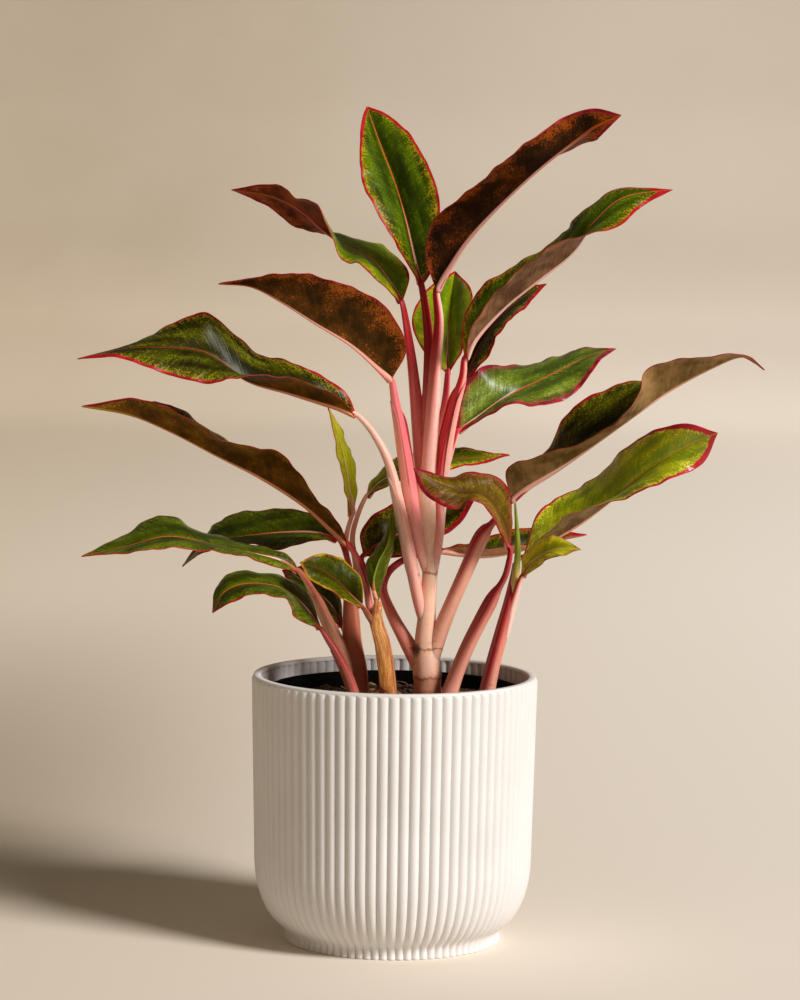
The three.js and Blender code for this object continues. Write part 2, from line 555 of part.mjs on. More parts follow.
const solids = {
  outer_pot: outerPot(),
  nursery_pot: nurseryPot(),
  soil: soil(Object.values(SHOOTS)),
};
for (const [name, stems] of Object.entries(SHOOTS)) solids[name] = shoot(stems);
for (const [name, leaf] of Object.entries(LEAVES)) solids[name] = blade(leaf);

const group = new THREE.Group();
for (const [name, solid] of Object.entries(solids)) {
  const finish = name === "soil" ? MATT : GLOSSY;
  const material = new THREE.MeshStandardMaterial({ color: COLOURS[name] ?? GREEN_BLADE, ...finish });
  const mesh = new THREE.Mesh(toGeometry(solid), material);
  mesh.name = name;
  group.add(mesh);
}

export default group;
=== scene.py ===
# A potted Chinese evergreen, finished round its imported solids. Blender units are metres; the tables of
# the plant's own places are in millimetres. Front is -Y and up is +Z, from the middle of the pot's foot.
import math
import random

import bpy
import numpy as np
from mathutils import Euler, Matrix, Vector, noise


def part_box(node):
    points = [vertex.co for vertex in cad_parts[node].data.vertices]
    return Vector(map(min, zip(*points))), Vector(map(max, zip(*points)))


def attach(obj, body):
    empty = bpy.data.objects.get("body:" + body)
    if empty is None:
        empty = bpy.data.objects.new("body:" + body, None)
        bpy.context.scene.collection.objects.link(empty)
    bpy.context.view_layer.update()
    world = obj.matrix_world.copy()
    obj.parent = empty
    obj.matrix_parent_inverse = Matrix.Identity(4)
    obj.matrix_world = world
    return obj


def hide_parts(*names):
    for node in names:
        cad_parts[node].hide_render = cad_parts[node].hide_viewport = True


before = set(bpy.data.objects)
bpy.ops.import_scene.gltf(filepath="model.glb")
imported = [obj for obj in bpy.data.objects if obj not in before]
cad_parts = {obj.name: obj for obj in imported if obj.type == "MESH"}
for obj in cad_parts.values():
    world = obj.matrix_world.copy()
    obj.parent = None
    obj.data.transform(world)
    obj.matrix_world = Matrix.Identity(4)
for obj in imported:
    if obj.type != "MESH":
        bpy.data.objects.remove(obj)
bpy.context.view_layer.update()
bpy.ops.object.select_all(action="DESELECT")

# ---- Camera --------------------------------------------------------------------------------------
# A short telephoto on a tripod 2.1 m in front of the pot and at the height of the upper leaves, tilted
# down by 5 degrees and very slightly off level. The picture is upright, 800 by 1000.
CAMERA_PLACE = (0.002, -2.1, 0.467)
CAMERA_TILT = 0.0897
CAMERA_ROLL = 0.0119
FOCAL_LENGTH_PX = 3361
PICTURE_HEIGHT_PX = 1000
SENSOR_MM = 36

bpy.ops.object.camera_add(location=CAMERA_PLACE)
camera = bpy.context.object
tilted = Matrix.Rotation(math.pi / 2 - CAMERA_TILT, 3, "X")
camera.rotation_euler = (tilted @ Matrix.Rotation(CAMERA_ROLL, 3, "Z")).to_euler()
camera.data.sensor_width = SENSOR_MM
camera.data.lens = SENSOR_MM * FOCAL_LENGTH_PX / PICTURE_HEIGHT_PX
bpy.context.scene.camera = camera

# ---- Studio --------------------------------------------------------------------------------------
# A round sweep of warm beige paper: a floor whose rim is drawn up into a wall all round. One large soft
# lamp stands far off to the right and in front, and the room's own pale light fills the shadows.
SWEEP_SEGMENTS = 96
SWEEP_ROWS = [(4.6, 0), (4.85, 0.02), (5.15, 0.13), (5.38, 0.36), (5.5, 0.7), (5.5, 1.7)]
LAMP_AZIMUTH = math.radians(54)
LAMP_ELEVATION = math.radians(34)
LAMP_SPREAD = math.radians(17)
LAMP_STRENGTH = 3.9
LAMP_COLOUR = (1.0, 0.985, 0.975)
ROOM_LIGHT = 0.165
ROOM_COLOUR = (1.0, 0.86, 0.64, 1)


def paint(code):
    """A colour written as #rrggbb, in Blender's linear light."""
    parts = [int(code[i:i + 2], 16) / 255 for i in (1, 3, 5)]
    return (*[c / 12.92 if c <= 0.04045 else ((c + 0.055) / 1.055) ** 2.4 for c in parts], 1.0)


class Wire:
    """A value, colour or vector on its way through a material. Arithmetic on it adds Math nodes."""

    def __init__(self, tree, socket):
        self.tree = tree
        self.socket = socket

    def node(self, kind, settings=None, values=None, out=0):
        """Adds a node, with its settings first, and gives the output named or numbered out."""
        made = self.tree.nodes.new("ShaderNode" + kind)
        for name, setting in (settings or {}).items():
            setattr(made, name, setting)
        for name, value in (values or {}).items():
            if isinstance(value, Wire):
                self.tree.links.new(value.socket, made.inputs[name])
            else:
                made.inputs[name].default_value = value
        return Wire(self.tree, made.outputs[out])

    def maths(self, operation, first, second=0.0):
        return self.node("Math", {"operation": operation}, {0: first, 1: second})

    def __add__(self, other):
        return self.maths("ADD", self, other)

    def __radd__(self, other):
        return self.maths("ADD", other, self)

    def __sub__(self, other):
        return self.maths("SUBTRACT", self, other)

    def __rsub__(self, other):
        return self.maths("SUBTRACT", other, self)

    def __mul__(self, other):
        return self.maths("MULTIPLY", self, other)

    def __rmul__(self, other):
        return self.maths("MULTIPLY", other, self)

    def __abs__(self):
        return self.maths("ABSOLUTE", self)

    def sine(self):
        return self.maths("SINE", self)

    def most(self, other):
        return self.maths("MAXIMUM", self, other)

    def rise(self, low, high):
        """0 at low and 1 at high, with soft ends. It falls where low is above high."""
        low, high, start, end = (low, high, 0.0, 1.0) if low < high else (high, low, 1.0, 0.0)
        values = {"Value": self, "From Min": low, "From Max": high, "To Min": start, "To Max": end}
        return self.node("MapRange", {"interpolation_type": "SMOOTHSTEP"}, values)

    def mix(self, first, second):
        """The colour first where this is 0, and second where it is 1. Colours may be written #rrggbb."""
        first, second = (paint(c) if isinstance(c, str) else c for c in (first, second))
        return self.node("Mix", {"data_type": "RGBA"}, {0: self, 6: first, 7: second}, out=2)

    def grain(self, scale, detail=2.0, roughness=0.5):
        """Noise over this place."""
        values = {"Vector": self, "Scale": scale, "Detail": detail, "Roughness": roughness}
        return self.node("TexNoise", None, values)

    def stretched(self, scale):
        """This place with its axes stretched, for streaks."""
        return self.node("VectorMath", {"operation": "MULTIPLY"}, {0: self, 1: scale})

    def axis(self, name):
        return self.node("SeparateXYZ", None, {0: self}, out=name)

    def beside(self, other):
        """The place whose first axis is this and whose second is the other."""
        return self.node("CombineXYZ", None, {0: self, 1: other})

    def attribute(self, name, out):
        """What the mesh's own attribute holds."""
        return self.node("Attribute", {"attribute_name": name}, out=out)

    def bump(self, strength, distance):
        """The normal of a surface pressed out to this height."""
        return self.node("Bump", None, {"Height": self, "Strength": strength, "Distance": distance})


def new_finish(name, roughness, **sockets):
    """A material, the place on the object as a wire in its tree, and its shader, with the sockets that are
    the same all over."""
    material = bpy.data.materials.new(name)
    material.use_nodes = True
    shader = material.node_tree.nodes["Principled BSDF"]
    shader.inputs["Roughness"].default_value = roughness
    for socket, value in sockets.items():
        shader.inputs[socket.replace("_", " ")].default_value = value
    place = Wire(material.node_tree, None).node("TexCoord", out="Object")
    return material, place, shader


def feed(shader, **wires):
    """Links wires to the shader's sockets, named with _ for a space."""
    for socket, wire in wires.items():
        wire.tree.links.new(wire.socket, shader.inputs[socket.replace("_", " ")])


def turned_up(name, rows, segments):
    """A turned piece: a ring drawn up and across from one row of radius and height to the next."""
    first_radius, first_z = rows[0]
    bpy.ops.mesh.primitive_circle_add(vertices=segments, radius=first_radius, fill_type="TRIFAN",
                                      location=(0, 0, first_z))
    piece = bpy.context.object
    piece.name = name
    bpy.ops.object.transform_apply(location=True)
    bpy.ops.object.mode_set(mode="EDIT")
    bpy.ops.mesh.select_mode(type="VERT")
    bpy.ops.mesh.select_all(action="DESELECT")
    bpy.ops.object.mode_set(mode="OBJECT")
    for vertex in piece.data.vertices:
        vertex.select = vertex.co.xy.length > first_radius / 2
    bpy.ops.object.mode_set(mode="EDIT")
    for (radius, z), (next_radius, next_z) in zip(rows, rows[1:]):
        bpy.ops.mesh.extrude_edges_move(TRANSFORM_OT_translate={"value": (0, 0, next_z - z)})
        scale = next_radius / radius
        bpy.ops.transform.resize(value=(scale, scale, 1))
    bpy.ops.object.mode_set(mode="OBJECT")
    bpy.ops.object.shade_smooth_by_angle(angle=math.radians(40))
    return piece


def paper_finish():
    """Beige paper with faint brushed clouds. Painted falloff of the light makes it darker to the left, back
    along the floor and up the wall; a painted shadow darkens the floor behind the pot on the left, and
    painted shade darkens the bend below the wall."""
    material, place, shader = new_finish("sweep_paper", 0.9, Specular_IOR_Level=0.1)
    x, y, z = (place.axis(name) for name in "XYZ")
    # Painted falloff: the paper is painted lighter to the right, and darker back along the floor and up the
    # wall.
    painted_light_to_the_right = x.rise(-1.0, 1.0)
    painted_falloff_back_and_up = z.rise(0.0, 0.4).most(y.rise(1.4, 4.8) * 0.55)
    floor = painted_light_to_the_right.mix("#cfbfa8", "#f8efe5")
    wall = painted_light_to_the_right.mix("#a69885", "#cfc5b6")
    # Painted shade darkens the bend below the wall.
    bend = z.rise(0.0, 0.17) * z.rise(0.65, 0.2) * 0.32
    # A painted shadow darkens the floor behind the pot on the left; #8f7f68 is the colour of this shade.
    painted_shadow_behind_left = x.rise(0.0, -0.38) * y.rise(-0.05, 0.35) * y.rise(2.0, 0.3) * 0.78
    plain = bend.most(painted_shadow_behind_left).mix(painted_falloff_back_and_up.mix(floor, wall), "#8f7f68")
    clouds = place.stretched((1.0, 0.15, 1.2)).grain(1.3, 5.0, 0.6).rise(0.3, 0.7)
    feed(shader, Base_Color=(clouds * 0.06).mix(plain, "#fff6ea"))
    return material


sweep = turned_up("sweep", SWEEP_ROWS, SWEEP_SEGMENTS)
sweep.visible_shadow = False
sweep.data.materials.append(paper_finish())

toward_lamp = Vector((
    math.cos(LAMP_ELEVATION) * math.sin(LAMP_AZIMUTH),
    -math.cos(LAMP_ELEVATION) * math.cos(LAMP_AZIMUTH),
    math.sin(LAMP_ELEVATION),
))
bpy.ops.object.light_add(type="SUN", location=toward_lamp)
lamp = bpy.context.object
lamp.rotation_euler = toward_lamp.to_track_quat("Z", "Y").to_euler()
lamp.data.angle = LAMP_SPREAD
lamp.data.energy = LAMP_STRENGTH
lamp.data.color = LAMP_COLOUR

room = bpy.data.worlds.new("room")
room.use_nodes = True
glow = room.node_tree.nodes["Background"]
glow.inputs["Color"].default_value = ROOM_COLOUR
glow.inputs["Strength"].default_value = ROOM_LIGHT
bpy.context.scene.world = room
bpy.context.scene.view_settings.view_transform = "Standard"

# ---- Cachepot ------------------------------------------------------------------------------------
# Slip-cast white stoneware under a matt glaze: 84 round flutes outside and inside the mouth, a thin
# plain lip, a rounded corner and a small flared foot that the flutes run out on.
FLUTES = 84
FLUTE_STEPS = 8
FLUTE_DEPTH = 0.0017
POT_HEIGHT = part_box("outer_pot")[1].z
POT_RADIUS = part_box("outer_pot")[1].x
CORNER_TOP = 0.058
CORNER_RADIUS = 0.0877
CORNER_ACROSS = 0.034
CORNER_DOWN = 0.053
CORNER_SQUARENESS = 2.4
LIP_RADIUS = POT_RADIUS - 0.0009
FLUTE_TOP = POT_HEIGHT - 0.0017
DOME = 0.0022
MOUTH_RADIUS = 0.0843
CORNER_FOOT = 0.0100
CORNER_STEPS = 15
WALL_STEPS = 8
INNER_FLUTE = 0.9
# Radius, height and how much of a flute there is: up the foot, and down the inside from the mouth.
FOOT_PROFILE = [
    (0.004, 0, 0), (0.060, 0, 0), (0.0676, 0, 0.5), (0.0683, 0.0003, 0.9), (0.0685, 0.0009, 1),
    (0.0682, 0.0020, 1), (0.0680, 0.0034, 1), (0.0681, 0.0048, 1), (0.0685, 0.0063, 1),
    (0.0692, 0.0076, 1), (0.0702, 0.0088, 1),
]
INSIDE_PROFILE = [
    (0.0836, 0.140, -1), (0.0828, 0.100, -1), (0.0822, 0.070, -0.5), (0.0812, 0.056, 0),
    (0.0785, 0.040, 0), (0.0735, 0.025, 0), (0.0660, 0.0145, 0), (0.0580, 0.0095, 0),
    (0.0520, 0.0080, 0), (0.004, 0.0080, 0),
]
# The lip, from the mouth's radius or its own and down from the pot's top.
LIP_PROFILE = [
    (LIP_RADIUS, 0.0012), (LIP_RADIUS - 0.0003, 0.0004), (LIP_RADIUS - 0.0009, 0),
    (MOUTH_RADIUS + 0.0010, 0), (MOUTH_RADIUS + 0.0004, 0.0004), (MOUTH_RADIUS + 0.0001, 0.0012),
    (MOUTH_RADIUS, 0.0020),
]


def flute(share):
    """How far the surface lies inside the flute's crest, at a share of the flute's width from it."""
    pitch = 2 * math.pi * POT_RADIUS / FLUTES
    arc = (pitch ** 2 / 4 + FLUTE_DEPTH ** 2) / (2 * FLUTE_DEPTH)
    return arc - math.sqrt(arc ** 2 - (pitch * share) ** 2)


def pot_profile():
    """Rows of radius, height, plain radius and how much of a flute there is, from the underside's
    middle up the outside, over the lip and down the inside to the floor's middle."""
    rows = list(FOOT_PROFILE)
    for step in range(CORNER_STEPS):
        height = CORNER_FOOT + (CORNER_TOP - CORNER_FOOT) * (step / CORNER_STEPS) ** 1.3
        down = (CORNER_TOP - height) / CORNER_DOWN
        across = (1 - down ** CORNER_SQUARENESS) ** (1 / CORNER_SQUARENESS)
        rows.append((CORNER_RADIUS - CORNER_ACROSS * (1 - across), height, 1))
    dome_foot = FLUTE_TOP - DOME
    for step in range(WALL_STEPS + 1):
        share = step / WALL_STEPS
        rows.append((CORNER_RADIUS + (POT_RADIUS - CORNER_RADIUS) * share,
                     CORNER_TOP + (dome_foot - CORNER_TOP) * share, 1))
    rows = [(radius, z, radius, amount) for radius, z, amount in rows]
    for share in (0.3, 0.55, 0.75, 0.9, 0.98, 1.0):
        rows.append((POT_RADIUS, dome_foot + DOME * share, LIP_RADIUS, math.sqrt(1 - share ** 2)))
    rows += [(radius, POT_HEIGHT - down, radius, 0) for radius, down in LIP_PROFILE]
    for share in (0.98, 0.85, 0.6, 0.3):
        amount = -math.sqrt(1 - share ** 2)
        rows.append((MOUTH_RADIUS, FLUTE_TOP - 0.0006 - 0.0014 * (1 - share), MOUTH_RADIUS, amount))
    return rows + [(radius, z, radius, amount) for radius, z, amount in INSIDE_PROFILE]


def welded(gap):
    """Joins the active mesh's points that lie within a gap, closes its holes and turns it outwards."""
    bpy.ops.object.mode_set(mode="EDIT")
    bpy.ops.mesh.select_all(action="SELECT")
    bpy.ops.mesh.remove_doubles(threshold=gap)
    bpy.ops.mesh.fill_holes(sides=0)
    bpy.ops.mesh.normals_make_consistent(inside=False)
    bpy.ops.object.mode_set(mode="OBJECT")


def cachepot():
    profile = pot_profile()
    last = len(profile) - 1
    bpy.ops.mesh.primitive_grid_add(x_subdivisions=FLUTE_STEPS, y_subdivisions=last, size=1)
    pot = bpy.context.object
    for vertex in pot.data.vertices:
        share = vertex.co.x
        radius, z, plain, amount = profile[round((vertex.co.y + 0.5) * last)]
        outer = (radius - flute(share) - plain) * amount
        crest = outer if amount > 0 else INNER_FLUTE * flute(share) * -amount
        angle = 2 * math.pi * share / FLUTES - math.pi / 2
        reach = plain + crest
        vertex.co = (reach * math.cos(angle), reach * math.sin(angle), z)
    bpy.ops.object.mode_set(mode="EDIT")
    bpy.ops.mesh.select_all(action="SELECT")
    turn = 2 * math.pi * (FLUTES - 1) / FLUTES
    bpy.ops.mesh.spin(steps=FLUTES - 1, dupli=True, angle=turn, center=(0, 0, 0), axis=(0, 0, 1))
    welded(0.00002)
    bpy.ops.object.shade_smooth_by_angle(angle=math.radians(38))
    return pot


def matt_glaze():
    material, place, shader = new_finish("matt_glaze", 0.5, Specular_IOR_Level=0.4)
    clouds = place.grain(22, 4.0).rise(0.3, 0.75)
    specks = place.grain(900).rise(0.72, 0.8)
    body = (specks * 0.25).mix(clouds.mix("#dbd8d5", "#e0dddb"), "#c8bcac")
    orange_peel = place.grain(420, 3.0).bump(0.12, 0.0004)
    feed(shader, Base_Color=body, Roughness=clouds * 0.12 + 0.46, Normal=orange_peel)
    return material


pot = cachepot()
pot.name = "cachepot"
pot.data.materials.append(matt_glaze())
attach(pot, "root")
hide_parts("outer_pot")

# ---- Nursery pot ---------------------------------------------------------------------------------
# The grower's thin black polypropylene pot, vacuum-formed, with its rim rolled outwards. It stands on
# the cachepot's floor, and only its rim and the inside above the soil are seen.
NURSERY_SEGMENTS = 96
NURSERY_ROWS = [
    (0.0550, 0.0083), (0.0560, 0.0110), (0.0785, 0.1550), (0.0806, 0.1554), (0.0810, 0.1562),
    (0.0810, 0.1578), (0.0805, 0.1589), (0.0795, 0.1593), (0.0781, 0.1590), (0.0776, 0.1580),
    (0.0771, 0.1553), (0.0768, 0.1540), (0.0760, 0.1500), (0.0546, 0.0110), (0.0536, 0.0097),
]


def closed(piece):
    """Caps the open ring of a turned piece and turns its faces outwards."""
    bpy.ops.object.mode_set(mode="EDIT")
    bpy.ops.mesh.edge_face_add()
    bpy.ops.mesh.select_all(action="SELECT")
    bpy.ops.mesh.normals_make_consistent(inside=False)
    bpy.ops.object.mode_set(mode="OBJECT")
    return piece


def black_plastic():
    material, place, shader = new_finish("black_polypropylene", 0.7, Specular_IOR_Level=0.05)
    dust = place.grain(160, 5.0).rise(0.5, 0.8)
    body = (dust * 0.4).mix("#040302", "#140e0a")
    feed(shader, Base_Color=body, Roughness=dust * 0.2 + 0.65, Normal=place.grain(700).bump(0.15, 0.0003))
    return material


nursery = closed(turned_up("nursery_pot_wall", NURSERY_ROWS, NURSERY_SEGMENTS))
nursery.data.materials.append(black_plastic())
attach(nursery, "root")
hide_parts("nursery_pot")

# ---- Soil ----------------------------------------------------------------------------------------
# Damp potting mix: crumbs of dark peat heaped a little round the left shoots, with chips of bark,
# grains of white perlite and dry root fibres strewn over it.
SOIL_CELLS = 110
SOIL_RADIUS = 0.0757
SOIL_FLOOR = 0.0105
SOIL_LEVEL = 0.149
SOIL_FOOT_RADIUS = 0.0533
LUMP_HEIGHT = 0.0016
MOUND_PLACE = (-0.018, -0.002)
MOUND_HEIGHT = 0.004
MOUND_SPREAD = 0.0005
CRUMB_HEIGHT = 0.0016
STREWN_RADIUS = SOIL_RADIUS * 0.96
DARK_CHIPS = 300
TAN_CHIPS = 110
GRAINS = 34
FIBRES = 70
CHIP_SIZES = (0.0022, 0.0052)
GRAIN_SIZES = (0.0010, 0.0022)
FIBRE_SIZES = (0.0030, 0.0068)
FIBRE_HALF_WIDTH = 0.035
# Where the shoots stand, and how far round each the soil stays bare: x, y, radius.
SHOOT_FEET = [
    (0.021, 0.0, 0.0115), (-0.024, -0.002, 0.008), (-0.004, -0.015, 0.006), (0.034, -0.013, 0.006),
    (0.058, -0.008, 0.006), (-0.025, -0.019, 0.005),
]


def soil_height(x, y):
    lumps = math.sin(210 * x + 1.3) * math.cos(170 * y - 0.4) + 0.6 * math.sin(370 * x - 310 * y)
    mound = math.exp(-math.dist((x, y), MOUND_PLACE) ** 2 / MOUND_SPREAD)
    return SOIL_LEVEL + LUMP_HEIGHT * lumps + MOUND_HEIGHT * mound


def crumbs(x, y):
    place = Vector((x, y, 0.3))
    coarse = noise.noise(place * 190) + 0.7 * noise.noise(place * 420) + 0.4 * noise.noise(place * 900)
    return CRUMB_HEIGHT * coarse


def peat_body():
    """A disc of crumbs: a square grid drawn round, its edge let down to the pot's floor."""
    bpy.ops.mesh.primitive_grid_add(x_subdivisions=SOIL_CELLS, y_subdivisions=SOIL_CELLS, size=2)
    body = bpy.context.object
    for vertex in body.data.vertices:
        a, b = vertex.co.x, vertex.co.y
        x = SOIL_RADIUS * a * math.sqrt(1 - b * b / 2)
        y = SOIL_RADIUS * b * math.sqrt(1 - a * a / 2)
        vertex.select = max(abs(a), abs(b)) > 0.999
        vertex.co = (x, y, soil_height(x, y) + (0 if vertex.select else crumbs(x, y)))
    for edge in body.data.edges:
        edge.select = all(body.data.vertices[i].select for i in edge.vertices)
    for face in body.data.polygons:
        face.select = False
    bpy.ops.object.mode_set(mode="EDIT")
    bpy.ops.mesh.select_mode(type="EDGE")
    bpy.ops.mesh.extrude_edges_move(TRANSFORM_OT_translate={"value": (0, 0, SOIL_FLOOR - SOIL_LEVEL)})
    scale = SOIL_FOOT_RADIUS / SOIL_RADIUS
    bpy.ops.transform.resize(value=(scale, scale, 0))
    closed(body)
    bpy.ops.object.shade_smooth_by_angle(angle=math.radians(60))
    return body


def joined(name, pieces):
    """Several pieces made one, under a name."""
    bpy.ops.object.select_all(action="DESELECT")
    for piece in pieces:
        piece.select_set(True)
    bpy.context.view_layer.objects.active = pieces[0]
    bpy.ops.object.join()
    pieces[0].name = name
    return pieces[0]


def strewn(name, model, count, sizes, draw):
    """Copies of a small model laid over the soil at random places and turns, joined into one piece."""
    copies = []
    while len(copies) < count:
        angle, radius = draw.uniform(0, 2 * math.pi), STREWN_RADIUS * math.sqrt(draw.random())
        x, y = radius * math.cos(angle), radius * math.sin(angle)
        turn = Euler((draw.uniform(-0.6, 0.6), draw.uniform(-0.6, 0.6), draw.uniform(0, 6.28)))
        size = draw.uniform(*sizes)
        stretch = [draw.uniform(0.6, 1.5), draw.uniform(0.7, 1.2), draw.uniform(0.6, 1.1)]
        if any(math.hypot(x - cx, y - cy) < reach for cx, cy, reach in SHOOT_FEET):
            continue
        piece = model.copy()
        piece.data = model.data.copy()
        bpy.context.collection.objects.link(piece)
        place = Matrix.Translation((x, y, soil_height(x, y) + crumbs(x, y) + 0.15 * size))
        scaled = Matrix.Diagonal((*[size * s for s in stretch], 1))
        piece.data.transform(place @ turn.to_matrix().to_4x4() @ scaled)
        copies.append(piece)
    bpy.data.objects.remove(model)
    return joined(name, copies)


def chip_model():
    """A splinter of bark: a block pulled long, its corners broken off."""
    bpy.ops.mesh.primitive_cube_add(size=1)
    chip = bpy.context.object
    chip.data.transform(Matrix.Diagonal((1.6, 0.8, 0.36, 1)))
    bpy.ops.object.mode_set(mode="EDIT")
    bpy.ops.mesh.select_all(action="SELECT")
    bpy.ops.mesh.bevel(offset=0.14, segments=1)
    bpy.ops.mesh.subdivide(number_cuts=1, fractal=0.9, seed=3)
    bpy.ops.object.mode_set(mode="OBJECT")
    return chip


def grain_model():
    """A grain of perlite: a rough round crumb."""
    bpy.ops.mesh.primitive_ico_sphere_add(subdivisions=2, radius=0.5)
    grain = bpy.context.object
    for vertex in grain.data.vertices:
        vertex.co *= 1 + 0.35 * noise.noise(vertex.co * 3.1)
    bpy.ops.object.shade_smooth()
    return grain


def fibre_model():
    """A dry root fibre: a thin five-sided rod bent into a loose arc."""
    bpy.ops.mesh.primitive_grid_add(x_subdivisions=5, y_subdivisions=10, size=1)
    fibre = bpy.context.object
    for vertex in fibre.data.vertices:
        around, along = 2 * math.pi * (vertex.co.x + 0.5), vertex.co.y
        reach = FIBRE_HALF_WIDTH * (1 - 1.2 * along * along)
        bend = 0.22 * math.sin(5 * along) + 0.1 * math.sin(11 * along + 1)
        lift = 0.12 * math.cos(4 * along)
        vertex.co = (2 * along, bend + reach * math.cos(around), lift + reach * math.sin(around))
    welded(0.001)
    bpy.ops.object.shade_smooth()
    return fibre


def peat_finish():
    material, place, shader = new_finish("damp_peat", 0.85, Specular_IOR_Level=0.3)
    patches = place.grain(130, 5.0, 0.65)
    threads = place.grain(480, 3.0, 0.6).rise(0.66, 0.74)
    ground = (threads * 0.7).mix(patches.rise(0.35, 0.7).mix("#150c07", "#4a2f1a"), "#6d4526")
    crumbly = place.grain(620, 4.0, 0.7).bump(0.8, 0.0012)
    feed(shader, Base_Color=ground, Roughness=patches * 0.3 + 0.6, Normal=crumbly)
    return material


def crumb_finish(name, dark, light, scale, roughness=0.8):
    """A dry crumb's colour, streaked from dark to light."""
    material, place, shader = new_finish(name, roughness)
    streaks = place.stretched((1, 1, 3)).grain(scale, 4.0, 0.7)
    feed(shader, Base_Color=streaks.rise(0.3, 0.7).mix(dark, light), Normal=streaks.bump(0.6, 0.0006))
    return material


peat = peat_body()
peat.name = "peat"
peat.data.materials.append(peat_finish())
dice = random.Random(11)
strewings = [
    (strewn("bark_chips_dark", chip_model(), DARK_CHIPS, CHIP_SIZES, dice),
     crumb_finish("bark_dark", "#1a0f08", "#5c381c", 500)),
    (strewn("bark_chips_tan", chip_model(), TAN_CHIPS, CHIP_SIZES, dice),
     crumb_finish("bark_tan", "#7a4a24", "#cc9a5c", 600)),
    (strewn("perlite_grains", grain_model(), GRAINS, GRAIN_SIZES, dice),
     crumb_finish("perlite", "#b9b2a6", "#efeae0", 900, 0.9)),
    (strewn("root_fibres", fibre_model(), FIBRES, FIBRE_SIZES, dice),
     crumb_finish("dry_fibre", "#4a3018", "#a8814f", 700)),
]
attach(peat, "root")
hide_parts("soil")
for piece, finish in strewings:
    piece.data.materials.append(finish)
    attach(piece, "root")

# ---- Shoots --------------------------------------------------------------------------------------
# Six shoots with their leaf stalks, fleshy but for the papery one: pink and cream outside, deep red in the
# channel up the side of a stalk that faces the shoot. A grid is wrapped round each stalk's way and sunk
# along the channel, and the stalks of one shoot are joined where they grow out of each other.
MM = 0.001
TUBE_SIDES = 20
STATION = 1.8
CHANNEL_HALF_ANGLE = 0.62
LIP_ANGLE = 0.95
LIP_HALF_ANGLE = 0.3
LIP_SHARE = 0.3
STEM_SINK = 22
SHEATH_COLUMNS = 14
SHEATH_THICKNESS = 0.0004
SHEATH_HALF_ANGLE = 1.75
SHEATH_TIP = 0.72
CANE_X = 0.0203
# The middle of a dark patch on the cane's left, where a back stalk meets it, once the place is stretched by
# DARK_PATCH_STRETCH, in metres. The scars are heights, and how far each reaches to both sides of the cane's
# middle.
DARK_PATCH_STRETCH = (1.0, 0.0, 0.6)
DARK_PATCH = (0.0134, 0.0, 0.1105)
CANE_SCARS = ((0.1575, 0.0115), (0.1665, 0.0115), (0.1845, 0.0115), (0.2325, 0.0065))

# skin: colour at the foot, colour at the top, colour inside the channel
SKINS = {
    "cane": ("#b07058", "#f6dfc6", "#f4ccb4"),
    "pale": ("#ffcfc2", "#ffc8bc", "#b80c18"),
    "pink": ("#ffc4b6", "#ffb4a8", "#d42c38"),
    "blushing": ("#ffc8bc", "#ffa8a0", "#e67c80"),
    "coral": ("#ffb8aa", "#f89084", "#e03c4c"),
    "crimson": ("#ff9c94", "#d84048", "#a00c16"),
    "red": ("#ff9c96", "#d42c3a", "#b41420"),
    "cream": ("#ffbcb0", "#fff2e2", "#ffc8b8"),
    "rosy": ("#f0a494", "#dc7c74", "#b8303e"),
    "wine": ("#f2bca2", "#cc4a4c", "#a41220"),
    "ruby": ("#ecac98", "#c43c48", "#940c18"),
    "brown": ("#c8806a", "#b05a50", "#963030"),
    "tan": ("#dcac8c", "#d6a684", "#b0664a"),
    "ivory": ("#f0c0a8", "#f8e0cc", "#f0b8a4"),
    "papery": ("#e0945c", "#f0b890", "#d8905c"),
    "husk": ("#e8984e", "#f4b46c", "#b46c34"),
    "spear": ("#efe08c", "#e88880", "#7c9420"),
}

